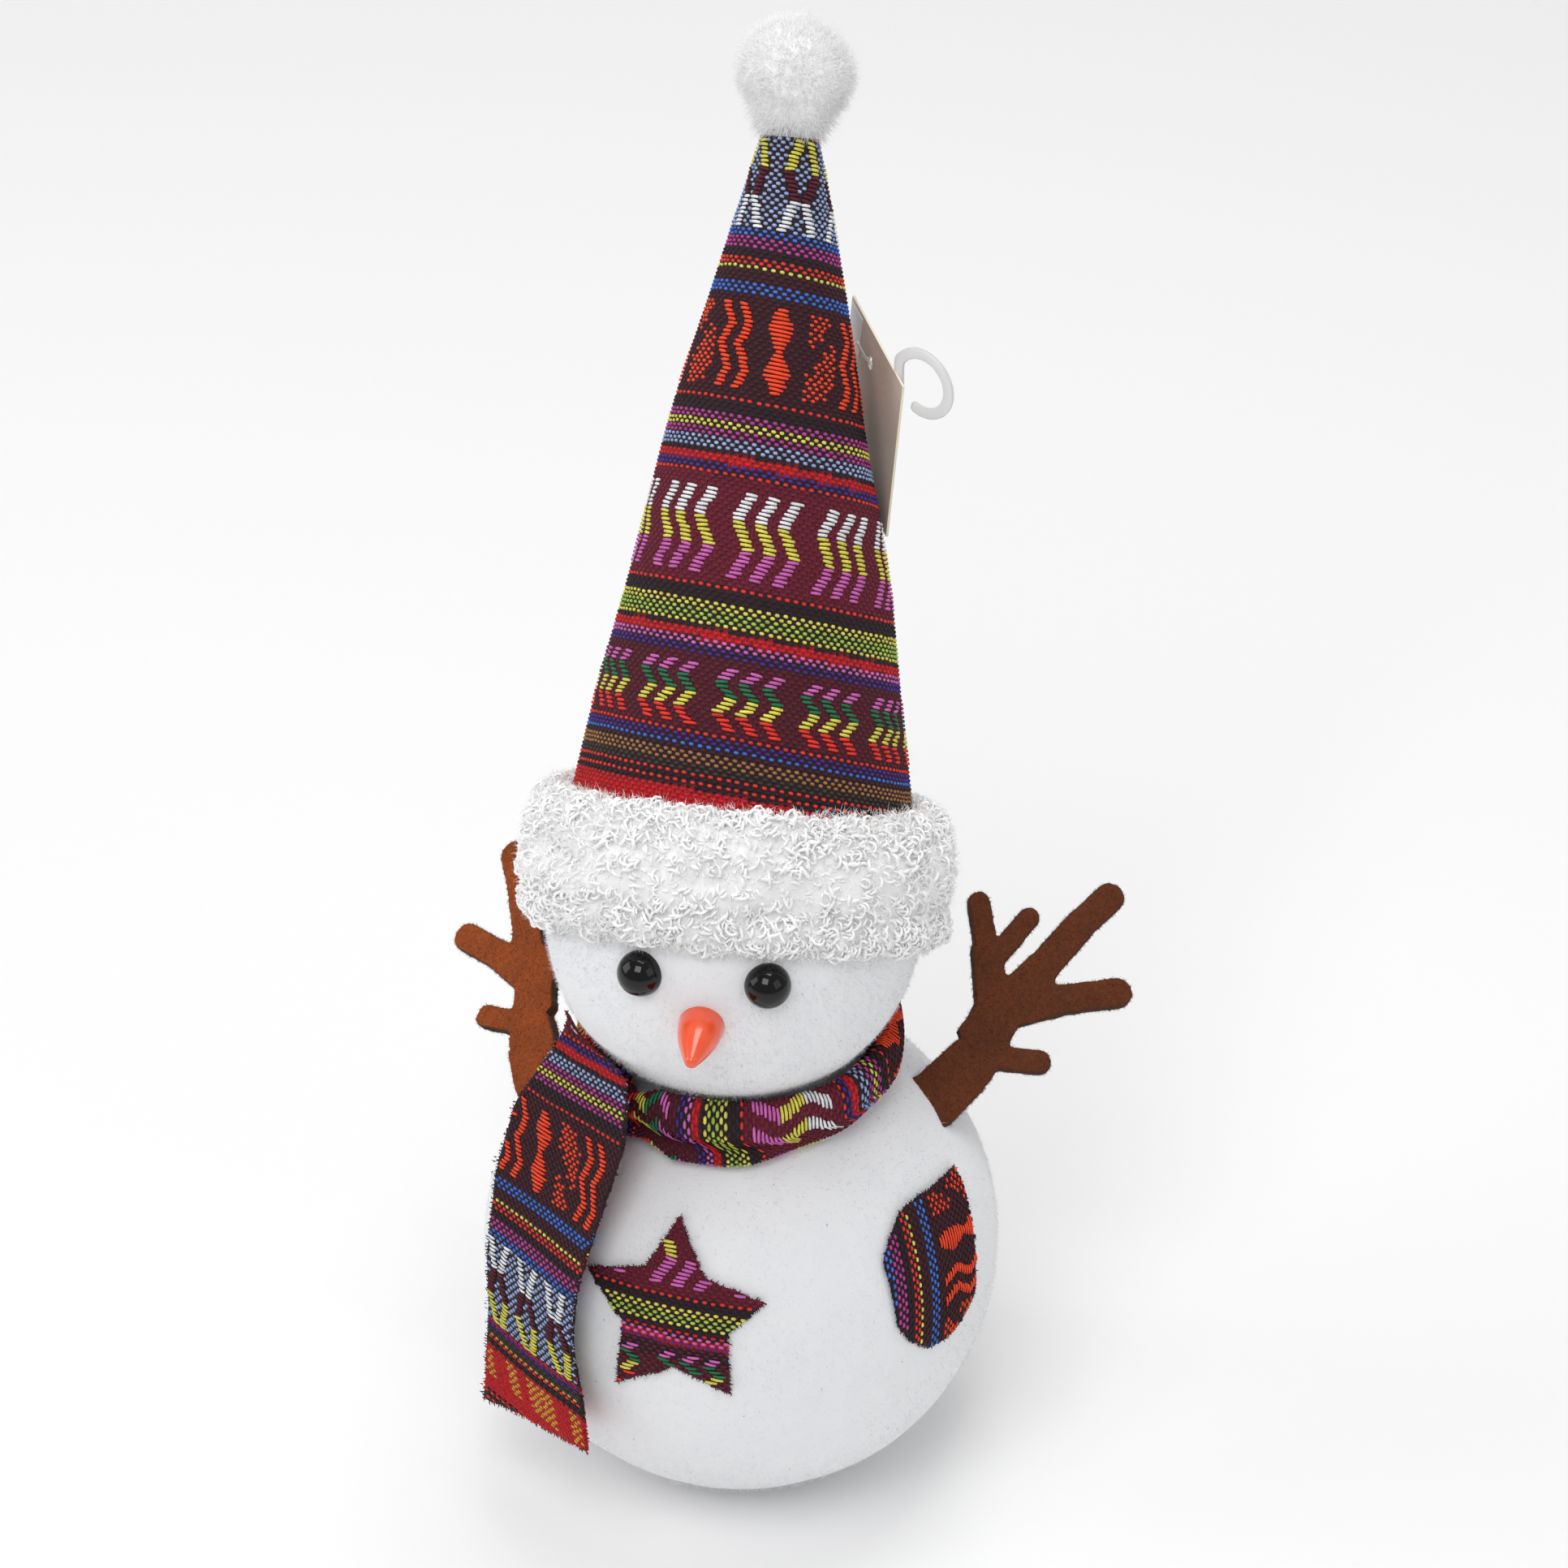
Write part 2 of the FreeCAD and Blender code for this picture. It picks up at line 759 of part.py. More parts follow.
def arm(side):
    half_root = -amount("sizes.arm_root / 2")
    low = -amount("sizes.felt / 2")
    hinge = amount("sizes.arm_hinge")
    trunk_start = TWIG["trunk"][0][1]
    pieces = [
        block(
            f"arm_{side}_root",
            "sizes.arm_root",
            f"sizes.arm_reach * {trunk_start} - sizes.arm_hinge",
            "sizes.felt",
            in_arm(side, half_root, hinge, low),
        ),
        drum(
            f"arm_{side}_knuckle",
            "sizes.felt / 2",
            "sizes.arm_root",
            arm_place(side).multiply(
                Placement(Vector(half_root, hinge, 0), Rotation(Vector(0, 1, 0), 90))
            ),
        ),
    ]
    for name, runs in TWIG.items():
        for number, run in enumerate(runs, start=1):
            pieces += branch(f"arm_{side}_{name}_{number}", side, *run)
    keep(f"arm_{side}", fused(f"arm_{side}_felt", pieces))
    keep(
        f"arm_{side}_tab",
        block(
            f"arm_{side}_tab_felt",
            "sizes.arm_root",
            "sizes.tab_depth + sizes.arm_hinge - sizes.felt / 2 - sizes.arm_gap",
            "sizes.felt",
            in_arm(side, half_root, -amount("sizes.tab_depth"), low),
        ),
    )


arm("left")
arm("right")


# ---- hang tag --------------------------------------------------------------------------------
# The tag hangs on a nylon thread from the hat's side, and its card leans on the hat. The card's
# own frame has its origin at the hole, X towards the front and Y up the card.

tag_share = amount(f"(sizes.tag_height - {HAT_START}) / (sizes.hat_tip - {HAT_START})")
tag_reach = amount(hat_edge(tag_share, "0") + " + sizes.thread_stand")
ANCHOR = on_hat("sizes.tag_height") + Vector(tag_reach, 0, 0)
THREAD = Vector(1.9, 6.4, -8.6)
HOLE = ANCHOR + THREAD
CARD_ALONG = Vector(0.427, -0.904, 0)
CARD_UP = Vector(0.079, 0.037, 0.996)
CARD = framed(HOLE, CARD_ALONG, CARD_UP)
HOOK_ALONG = Vector(0.862, -0.507, 0)
HOOK_CENTRE = HOLE + Vector(13.4, -16.7, 6.5)
HOOK = framed(HOOK_CENTRE, HOOK_ALONG, Vector(0, 0, 1))


def in_card(x, y, z):
    return CARD.multiply(Placement(Vector(x, y, z), Rotation()))


def card_slab(name, extra):
    """The card as a slab, a little larger all round if extra is over 0."""
    grow = f"2 * {extra}"
    return block(
        name,
        "sizes.card_width + " + grow,
        "sizes.card_height + " + grow,
        "sizes.card_thickness + " + grow,
        in_card(
            -amount("sizes.hole_back") - amount(extra),
            amount("sizes.hole_drop - sizes.card_height") - amount(extra),
            -amount("sizes.card_thickness / 2") - amount(extra),
        ),
    )


hole = drum(
    "card_hole",
    "sizes.hole_width / 2",
    "4 * sizes.card_thickness",
    in_card(0, 0, -amount("2 * sizes.card_thickness")),
)
keep("tag_card", cut("card_punched", card_slab("card_blank", "0"), [hole]))

LABEL = (8.0, 9.0, 0.2)
LABEL_MARGIN = 0.5
keep(
    "tag_label",
    block(
        "label",
        str(LABEL[0]),
        str(LABEL[1]),
        str(LABEL[2]),
        in_card(
            LABEL_MARGIN - amount("sizes.hole_back"),
            amount("sizes.hole_drop") - 2 * LABEL_MARGIN - LABEL[1],
            amount("sizes.card_thickness / 2"),
        ),
    ),
)

THREAD_PAST = 1.7
thread_run = THREAD.Length
thread_way = Vector(THREAD).normalize()
bar_spot = HOLE + thread_way * THREAD_PAST
thread = drum(
    "thread",
    "sizes.thread_width / 2",
    str(round(thread_run + THREAD_PAST, 3)),
    Placement(ANCHOR, Rotation(Vector(0, 0, 1), thread_way)),
)
bar_half = amount("sizes.bar_length / 2")
bar = drum(
    "bar",
    "sizes.bar_width / 2",
    "sizes.bar_length",
    Placement(bar_spot - Vector(CARD_UP).normalize() * bar_half, Rotation(Vector(0, 0, 1), CARD_UP)),
)
keep("tag_thread", fused("thread_and_bar", [thread, bar]))

hook_low = HOOK.multiply(Placement(Vector(0, 0, -amount("sizes.hook_thickness / 2")), Rotation()))
hook_round = cut(
    "hook_round",
    drum("hook_disc", "sizes.hook_width / 2", "sizes.hook_thickness", hook_low),
    [drum("hook_eye", "sizes.hook_width / 2 - sizes.hook_stroke", "sizes.hook_thickness", hook_low)],
)
HOOK_TIP = 244.0
HOOK_STALK = 172.0
mouth = drum("hook_mouth", "sizes.hook_width", "3 * sizes.hook_thickness", hook_low)
mouth.Angle = HOOK_TIP - HOOK_STALK
mouth.Placement = HOOK.multiply(
    Placement(
        Vector(0, 0, -amount("1.5 * sizes.hook_thickness")),
        Rotation(Vector(0, 0, 1), HOOK_STALK),
    )
)
hook_ring = cut("hook_ring", hook_round, [mouth])
STALK_ACROSS = 12.6
STALK_RISE = 2.1
stalk = block(
    "hook_stalk",
    "2 * sizes.hook_stroke",
    f"sizes.hole_drop * {STALK_RISE}",
    "sizes.hook_thickness",
    in_card(
        STALK_ACROSS,
        -amount("sizes.hole_drop"),
        -amount("sizes.card_thickness / 2 + sizes.glue_gap + sizes.hook_thickness"),
    ),
)
keep(
    "tag_hook",
    cut(
        "hook_clear_of_card",
        fused("hook_whole", [hook_ring, stalk]),
        [card_slab("card_room", "sizes.glue_gap")],
    ),
)


# ---- checks and export -----------------------------------------------------------------------

doc.recompute()
faults = []
for thing in doc.Objects:
    if "Invalid" in thing.State or "Error" in thing.State:
        faults.append(thing.Name)
for name, thing in parts.items():
    if thing.Shape.isNull() or not thing.Shape.isValid() or not thing.Shape.Solids:
        faults.append(name)
if faults:
    raise RuntimeError("failed: " + ", ".join(faults))

os.makedirs("parts", exist_ok=True)
for name, thing in parts.items():
    thing.Shape.exportStep(f"parts/{name}.step")
    print(f"{name:16s} {len(thing.Shape.Solids)} solid {thing.Shape.Volume:12.1f} mm3")
print(len(parts), "sub-parts; body at", BODY, "head at", HEAD)
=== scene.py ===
# %% [markdown]
# # A soft snowman figure with a woven hat and scarf
# The real object is two foam balls under short white fleece, a tall cone hat of striped cotton with a
# curly yarn trim and a pompom, a scarf of the same cloth, felt twig arms, two cloth patches and a tag.
# The solid model comes first, as a fixed frame in metres: every piece made here takes its place from it.

# %% Load the frame
import json
import math

import bmesh
import bpy
import numpy as np
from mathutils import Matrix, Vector, geometry, noise


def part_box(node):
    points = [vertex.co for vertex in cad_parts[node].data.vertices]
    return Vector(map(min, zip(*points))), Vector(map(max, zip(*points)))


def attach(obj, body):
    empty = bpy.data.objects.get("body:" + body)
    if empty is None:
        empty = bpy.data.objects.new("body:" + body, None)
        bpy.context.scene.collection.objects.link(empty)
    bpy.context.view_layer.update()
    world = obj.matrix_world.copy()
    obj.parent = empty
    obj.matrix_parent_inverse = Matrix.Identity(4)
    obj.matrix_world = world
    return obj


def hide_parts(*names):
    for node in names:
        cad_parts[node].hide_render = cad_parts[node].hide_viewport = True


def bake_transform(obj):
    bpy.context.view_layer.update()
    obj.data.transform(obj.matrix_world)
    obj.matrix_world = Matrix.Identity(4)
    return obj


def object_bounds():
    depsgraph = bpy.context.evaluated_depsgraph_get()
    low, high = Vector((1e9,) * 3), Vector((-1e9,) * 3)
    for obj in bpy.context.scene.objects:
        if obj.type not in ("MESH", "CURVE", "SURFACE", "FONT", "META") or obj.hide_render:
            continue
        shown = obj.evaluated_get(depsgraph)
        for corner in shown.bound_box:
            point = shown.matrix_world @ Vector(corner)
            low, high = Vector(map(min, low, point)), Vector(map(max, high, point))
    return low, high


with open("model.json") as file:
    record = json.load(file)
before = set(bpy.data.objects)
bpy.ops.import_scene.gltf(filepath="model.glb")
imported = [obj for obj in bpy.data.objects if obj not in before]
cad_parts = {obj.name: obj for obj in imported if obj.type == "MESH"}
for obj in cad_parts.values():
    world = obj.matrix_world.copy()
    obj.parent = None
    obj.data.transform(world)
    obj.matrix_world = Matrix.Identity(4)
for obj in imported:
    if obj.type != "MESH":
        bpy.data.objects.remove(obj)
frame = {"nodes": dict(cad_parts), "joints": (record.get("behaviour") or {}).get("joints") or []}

CAD_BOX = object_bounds()
MM = 0.001

# %% [markdown]
# ## Places
# The boxes of the two balls and of the pompom give the centres and the axis of the hat. All sizes below
# are millimetres, and become metres only when a mesh is made.

# %% The balls, the hat's axis and the numbers that are shared
def box_mm(node):
    low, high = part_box(node)
    return np.array(low) / MM, np.array(high) / MM


def middle(node):
    low, high = box_mm(node)
    return (low + high) / 2


fleece_low, fleece_high = box_mm("body_fleece")
head_low, head_high = box_mm("head_fleece")
pad_low, pad_high = box_mm("base_pad")
BODY_R = (fleece_high[0] - fleece_low[0]) / 2
HEAD_R = (head_high[0] - head_low[0]) / 2
BASE_R = (pad_high[0] - pad_low[0]) / 2
FLOOR_Z = pad_high[2]
BODY = np.array([0.0, 0.0, FLOOR_Z + math.sqrt(BODY_R**2 - BASE_R**2)])
HEAD = np.array([(head_low[0] + head_high[0]) / 2, 0.0, head_high[2] - HEAD_R])
POMPOM = middle("pompom")
POMPOM_R = np.ptp(box_mm("pompom"), axis=0)[0] / 2


def unit(v):
    v = np.asarray(v, float)
    return v / np.linalg.norm(v, axis=-1, keepdims=True)


HAT_UP = unit(POMPOM - HEAD)
HAT_SIDE = unit(np.array([1.0, 0.0, 0.0]) - HAT_UP * HAT_UP[0])
HAT_FRONT = np.cross(HAT_SIDE, HAT_UP)
print("body", BODY.round(1), "head", HEAD.round(1), "hat axis", HAT_UP.round(3))


def outward(turn, lift):
    """The direction at so many degrees round from the front, towards +X, and so many up."""
    turn, lift = math.radians(turn), math.radians(lift)
    return np.array([math.sin(turn) * math.cos(lift), -math.cos(turn) * math.cos(lift), math.sin(lift)])


def pushed_out(points, centre, radius):
    """The same points, with none nearer to the centre than this."""
    away = points - centre
    reach = np.linalg.norm(away, axis=-1, keepdims=True)
    return centre + away / reach * np.maximum(reach, radius)


def smooth(a, b, c, d, p):
    """The place a share p of the way from b to c on a smooth line through four points."""
    return 0.5 * (2 * b + (c - a) * p + (2 * a - 5 * b + 4 * c - d) * p**2 + (3 * b - a - 3 * c + d) * p**3)


# %% [markdown]
# ## The camera and the light
# A product picture of a small object: the camera stands a good metre away and looks down on it, so the
# perspective stays gentle. The room is a white sweep. The strongest soft boxes hang high in front and
# above, and weaker ones stand at both sides, so the white fleece still shows its roundness on white.

# %% Camera
CAMERA_TURN, CAMERA_LIFT = 10.1, 35.4
SENSOR, LENS = 36.0, 139.75
CAMERA_SPOT = Vector((0.18710, -0.99821, 0.89106))
camera = bpy.data.objects.new("camera", bpy.data.cameras.new("camera"))
camera.data.sensor_width = SENSOR
camera.data.lens = LENS
camera.location = CAMERA_SPOT
look = Vector(-outward(CAMERA_TURN, CAMERA_LIFT))
camera.rotation_euler = look.to_track_quat("-Z", "Y").to_euler()
bpy.context.collection.objects.link(camera)
bpy.context.scene.camera = camera
bpy.context.scene.view_settings.view_transform = "Standard"
print("camera at", CAMERA_SPOT, "with a lens of", LENS, "mm")


# %% Colours, nodes and materials
def linear(code):
    """An sRGB hex colour as linear red, green and blue."""
    parts = [int(code[i : i + 2], 16) / 255 for i in (1, 3, 5)]
    return [p / 12.92 if p <= 0.04045 else ((p + 0.055) / 1.055) ** 2.4 for p in parts]


def rgba(code):
    return (*linear(code), 1.0)


def material(name, colour, roughness, **sockets):
    """A new material, its shader set by socket name."""
    made = bpy.data.materials.new(name)
    made.use_nodes = True
    shader = made.node_tree.nodes["Principled BSDF"]
    shader.inputs["Base Color"].default_value = rgba(colour)
    shader.inputs["Roughness"].default_value = roughness
    for key, value in sockets.items():
        shader.inputs[key.replace("_", " ")].default_value = value
    return made


def node(made, kind, settings=None, **inputs):
    """Adds a node. Inputs are values or (node, output) pairs, by socket name or by number as _0."""
    tree = made.node_tree
    new = tree.nodes.new(kind)
    for key, value in (settings or {}).items():
        setattr(new, key, value)
    for key, value in inputs.items():
        socket = new.inputs[int(key[1:])] if key[0] == "_" else new.inputs[key.replace("_", " ")]
        if isinstance(value, tuple) and isinstance(value[0], bpy.types.Node):
            tree.links.new(value[0].outputs[value[1]], socket)
        else:
            socket.default_value = value
    return new


def shade(made, socket, source, output):
    shader = made.node_tree.nodes["Principled BSDF"]
    made.node_tree.links.new(source.outputs[output], shader.inputs[socket])


def clouds(made, scale_mm, detail):
    """Noise in the piece's own space, with patches of about this size."""
    place = node(made, "ShaderNodeTexCoord")
    return node(
        made, "ShaderNodeTexNoise", Vector=(place, "Object"), Scale=1 / (scale_mm * MM), Detail=detail
    )


def blend_colours(made, share, first, second):
    mix = {"data_type": "RGBA"}
    return node(made, "ShaderNodeMix", mix, _0=share, _6=rgba(first), _7=rgba(second))


def relief(made, source, strength, depth_mm):
    """A bump of this depth."""
    bump = node(made, "ShaderNodeBump", Height=source, Strength=strength, Distance=depth_mm * MM)
    shade(made, "Normal", bump, "Normal")


def mottle(made, first, second, scale_mm, detail=3.0):
    """Colour that drifts between two tones over patches of about this size."""
    cloud = clouds(made, scale_mm, detail)
    shade(made, "Base Color", blend_colours(made, (cloud, "Fac"), first, second), 2)


def grain(made, scale_mm, depth_mm, strength=1.0, detail=4.0):
    """A bump of noise whose grains are about scale_mm across and depth_mm high."""
    relief(made, (clouds(made, scale_mm, detail), "Fac"), strength, depth_mm)


def tinted(made, source, span, fade):
    """The piece's own dye, from fade[0] as bright where the source is span[0] to fade[1] at span[1]."""
    colour = node(made, "ShaderNodeAttribute", {"attribute_name": "dye"})
    low, high = span
    level = node(made, "ShaderNodeMapRange", Value=source, _1=low, _2=high, _3=fade[0], _4=fade[1])
    scale = {"operation": "SCALE"}
    mix = node(made, "ShaderNodeVectorMath", scale, _0=(colour, "Color"), Scale=(level, 0))
    shade(made, "Base Color", mix, 0)


def dyed(name, colour, rough, scale_mm, detail, fade, strength, depth_mm, **sockets):
    """A dyed material with fine clouds in its colour and its surface."""
    made = material(name, colour, rough, **sockets)
    cloud = clouds(made, scale_mm, detail)
    tinted(made, (cloud, "Fac"), (0.3, 0.7), fade)
    relief(made, (cloud, "Fac"), strength, depth_mm)
    return made


def glowing(made, strength):
    """A little light of its own, which stands in for the light that goes through white fibres."""
    sockets = made.node_tree.nodes["Principled BSDF"].inputs
    sockets["Emission Color"].default_value = (1, 1, 1, 1)
    sockets["Emission Strength"].default_value = strength


# %% The white sweep and the soft boxes
def studio():
    """A floor that curves up behind, four soft boxes and a bright even sky."""
    half, depth, rise, bend, steps = 3.0, 2.2, 2.4, 0.8, 12
    profile = [(-3.0, 0.0)]
    for step in range(steps + 1):
        angle = math.pi / 2 * step / steps
        profile.append((depth - bend + bend * math.sin(angle), bend - bend * math.cos(angle)))
    profile.append((depth, rise))
    verts = [(x, y, z) for y, z in profile for x in (-half, half)]
    faces = [(2 * i, 2 * i + 1, 2 * i + 3, 2 * i + 2) for i in range(len(profile) - 1)]
    mesh = bpy.data.meshes.new("sweep")
    mesh.from_pydata(verts, [], faces)
    mesh.polygons.foreach_set("use_smooth", [True] * len(faces))
    sweep = bpy.data.objects.new("sweep", mesh)
    sweep.location.z = CAD_BOX[0][2]
    bpy.context.collection.objects.link(sweep)
    paper = material("matt white paper", "#FBFBFB", 0.95)
    glowing(paper, 0.006)
    mesh.materials.append(paper)
    aim = Vector(HEAD * MM)
    # Each box's place, its side in metres and its power in watts.
    boxes = {
        "key": ((0.1, 0.3, 1.5), 0.7, 7.0),
        "right": ((1.25, -0.55, 0.85), 0.9, 2.0),
        "left": ((-1.3, -0.2, 0.75), 0.9, 4.6),
        "front": ((-0.15, -0.95, 1.45), 0.8, 8.6),
    }
    for name, (spot, side, power) in boxes.items():
        lamp = bpy.data.lights.new(name, "AREA")
        lamp.size = side
        lamp.energy = power
        lit = bpy.data.objects.new(name, lamp)
        lit.location = spot
        lit.rotation_euler = (aim - Vector(spot)).to_track_quat("-Z", "Y").to_euler()
        bpy.context.collection.objects.link(lit)
    world = bpy.data.worlds.new("even sky")
    world.use_nodes = True
    world.node_tree.nodes["Background"].inputs["Color"].default_value = (1, 1, 1, 1)
    world.node_tree.nodes["Background"].inputs["Strength"].default_value = 0.41
    bpy.context.scene.world = world
    print("a white sweep and", len(boxes), "soft boxes")


studio()

# %% [markdown]
# ## Meshes from arrays
# Cloth and fleece are thousands of small alike things: stitches, yarn loops, fibres. Each kind is one
# small template that is copied along lists of places with arrays, which is fast and gives one mesh for
# each piece. Random numbers come from one seeded source, so every run makes the same figure.

# %% Mesh helpers
random = np.random.default_rng(11)
BAKE_MAP = "OFBake"


def add_object(name, mesh, made, body="figure"):
    thing = bpy.data.objects.new(name, mesh)
    bpy.context.collection.objects.link(thing)
    mesh.materials.append(made)
    mesh.polygons.foreach_set("use_smooth", np.ones(len(mesh.polygons), bool))
    if body:
        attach(thing, body)
    print("made", name, "with", len(mesh.polygons), "faces")
    return thing


def mesh_of(name, points, faces, sizes=None):
    """A mesh from points in mm and faces: one array of equal faces, or flat corners with sizes."""
    mesh = bpy.data.meshes.new(name)
    points = np.asarray(points, float).reshape(-1, 3) * MM
    faces = np.asarray(faces)
    if sizes is None:
        sizes = np.full(len(faces), faces.shape[1])
    corners = faces.ravel()
    mesh.vertices.add(len(points))
    mesh.vertices.foreach_set("co", points.ravel())
    mesh.loops.add(len(corners))
    mesh.loops.foreach_set("vertex_index", corners.astype(np.int32))
    mesh.polygons.add(len(sizes))
    starts = np.concatenate([[0], np.cumsum(sizes)[:-1]])
    mesh.polygons.foreach_set("loop_start", starts.astype(np.int32))
    mesh.update(calc_edges=True)
    mesh.validate()
    return mesh


def lay_map(mesh, name, spots):
    """A UV map with one spot per vertex."""
    corners = np.zeros(len(mesh.loops), np.int32)
    mesh.loops.foreach_get("vertex_index", corners)
    layer = mesh.uv_layers.new(name=name)
    layer.uv.foreach_set("vector", np.asarray(spots, np.float32)[corners].ravel())


def dye(mesh, colours):
    """A colour for each vertex."""
    layer = mesh.attributes.new("dye", "FLOAT_COLOR", "POINT")
    full = np.concatenate([colours, np.ones((len(colours), 1))], axis=1)
    layer.data.foreach_set("color", full.astype(np.float32).ravel())


def grid_faces(rows, columns, ring_rows=False, ring_columns=False):
    """Quads of a grid whose points run along each row. A ring joins the last row or column to the first."""
    down = np.arange(rows if ring_rows else rows - 1)
    i, j = np.meshgrid(down, np.arange(columns if ring_columns else columns - 1), indexing="ij")
    near, far = i * columns, (i + 1) % rows * columns
    k = (j + 1) % columns
    return np.stack([near + j, near + k, far + k, far + j], axis=-1).reshape(-1, 4)


def ring_faces(stations, sides):
    """Faces of a closed tube: a point, rings of so many sides, and a point."""
    quads, triangles = [], []
    last = 1 + stations * sides
    for s in range(sides):
        k = (s + 1) % sides
        triangles.append((0, 1 + k, 1 + s))
        triangles.append((last, last - sides + s, last - sides + k))
        for r in range(stations - 1):
            a, b = 1 + r * sides, 1 + (r + 1) * sides
            quads.append((a + s, a + k, b + k, b + s))
    corners = [c for face in quads + triangles for c in face]
    return np.array(corners), np.array([4] * len(quads) + [3] * len(triangles))


def copies(template_corners, template_sizes, points_each, count):
    """The faces of so many copies of a template."""
    corners = template_corners[None] + (np.arange(count) * points_each)[:, None]
    return corners.ravel(), np.tile(template_sizes, count)


def lumps(points, size_mm, height_mm, seed):
    """Smooth noise at each point, from -height to height."""
    shift = Vector((seed * 13.1, seed * 7.7, seed * 3.3))
    return np.array([noise.noise(Vector(p) / size_mm + shift) for p in points]) * height_mm


# %% [markdown]
# ## The cloth
# One bolt of striped cotton is used for the hat, the scarf and both patches. Thick weft yarn runs
# along the stripes and changes colour every few rows; a thin dark warp crosses it. In a plain weave
# the weft shows as rows of small beads, every second one hidden under a warp thread. The bright motifs
# are floats: an extra yarn that skips over several threads. The yarns are real geometry here, because
# a bump map goes flat at the edge of the hat; only the warp under them is a bump.

# %% Yarn colours and the order of the stripes
ROW = 0.84
PICK = 0.92
DYES = {
    "night": "#26101A", "plum": "#42101F", "maroon": "#5E0F26", "crimson": "#700F2B", "red": "#CE1420",
    "vermilion": "#EE3426", "orange": "#FF4A20", "amber": "#D9A63A", "yellow": "#E3DC58",
    "lime": "#A9CC4A", "green": "#17734A", "olive": "#40382A", "tan": "#A87440", "sky": "#9DB2DE",
    "blue": "#3F73D8", "violet": "#4C2492", "magenta": "#BE3F96", "pink": "#D268B8", "white": "#EEF1F4",
}
DYES = {name: np.array(linear(code)) for name, code in DYES.items()}

# Each stripe: how many rows, the weft's colour, and the motif that floats over it if there is one.
BOLT = """
8 sky roof_yellow, 7 sky roof_plum, 8 sky roof_white, 2 blue, 3 magenta, 2 night, 2 vermilion,
1 yellow, 3 plum, 3 blue, 25 plum blocks, 1 vermilion, 3 night, 2 magenta, 2 yellow, 2 magenta, 3 sky,
1 night, 2 red, 2 violet, 1 vermilion, 26 crimson snakes, 1 vermilion, 3 night, 2 yellow, 3 lime,
1 yellow, 1 night, 2 red, 2 pink, 2 violet, 18 maroon chain, 1 vermilion, 2 violet, 1 blue, 1 plum,
3 tan, 2 olive, 1 vermilion, 1 night, 1 vermilion, 1 night, 16 red dashes, 2 night, 1 vermilion,
1 amber, 2 olive, 2 violet, 1 red
"""
ROWS = []
for stripe in BOLT.split(","):
    count, yarn, *motif = stripe.split()
    for row in range(int(count)):
        ROWS.append((yarn, motif[0] if motif else None, (row + 0.5) / int(count)))
print("the bolt repeats after", len(ROWS), "rows, or", round(len(ROWS) * ROW), "mm")


# %% Motifs of floating yarn
def wave_motif(t, bands, reach=(0.0, 4.7, 9.6), width=2.9):
    """Wavy columns side by side whose colour changes by bands; t goes from 0 at the top to 1."""
    if not 0.1 < t < 0.92:
        return []
    t = (t - 0.1) / 0.82
    part = min(int(t * len(bands)), len(bands) - 1)
    within = t * len(bands) - part
    flip = 1 if part % 2 == 0 else -1
    swing = 1.2 * flip * math.cos(math.pi * within)
    return [(x + swing - width / 2, width, bands[part]) for x in reach]


def roof_motif(t, colour):
    """Two columns that lean together at the top."""
    if not 0.05 < t < 0.95:
        return []
    lean = 1.2 + 2.0 * t
    return [(4.5 - lean - 1.2, 2.4, colour), (4.5 + lean - 1.2, 2.4, colour)]


def block_motif(t):
    """Two solid lozenges, a field of short picks beside them, then two zigzags side by side."""
    if not 0.06 < t < 0.94:
        return []
    within = (t - 0.06) / 0.44 % 1
    half = 0.9 + 2.3 * (1 - abs(2 * within - 1))
    found = [(3.4 - half, 2 * half, "orange")]
    for pick in range(4):
        if math.sin(9 * t + pick) > -0.55:
            found.append((9.2 + PICK * (2 * pick + int(t * 25) % 2), 1.15, "orange"))
    return found + [(start + half, 2.3, "orange") for start in (16.6, 20.9)]


def dash_motif(t):
    """Short picks in square fields."""
    if not 0.3 < t < 0.95:
        return []
    shift = PICK * (int(t * 16) % 2)
    starts = [2 * PICK * pick for pick in range(5)] + [14.7 + 2 * PICK * pick for pick in range(2)]
    return [(start + shift, 0.95, "amber") for start in starts]


MOTIFS = {
    "roof_yellow": (11.6, lambda t: roof_motif(t, "yellow")),
    "roof_plum": (11.6, lambda t: roof_motif(1 - t, "maroon")),
    "roof_white": (11.6, lambda t: roof_motif(t, "white")),
    "blocks": (28.5, block_motif),
    "snakes": (18.0, lambda t: wave_motif(t, ["white", "yellow", "pink"])),
    "chain": (18.0, lambda t: wave_motif(t, ["pink", "green", "yellow", "vermilion"])),
    "dashes": (22.1, dash_motif),
}


def floats_in(row, low, high):
    """Each float of a row between two places along it: start, length, colour."""
    _, motif, t = ROWS[row % len(ROWS)]
    if motif is None:
        return []
    period, draw = MOTIFS[motif]
    found = []
    for turn in range(math.floor(low / period) - 1, math.ceil(high / period) + 1):
        for start, length, colour in draw(t):
            found.append((start + turn * period, length, colour))
    return [f for f in found if f[0] + f[1] > low and f[0] < high]


# %% Yarn as geometry
# A bead is the part of a weft yarn that shows between two warp threads: a point, two rings and a point.
# Each is given by its place along the yarn, its radius and its rise over the cloth.
BEAD = [(-0.62, 0.0, -0.08), (-0.3, 0.34, 0.1), (0.3, 0.34, 0.1), (0.62, 0.0, -0.08)]
FLOAT = [(-0.5, 0.0, -0.15), (-0.4, 0.27, 0.22), (0.0, 0.33, 0.34), (0.4, 0.27, 0.22), (0.5, 0.0, -0.15)]
FLAT, SIDES = 0.62, 4


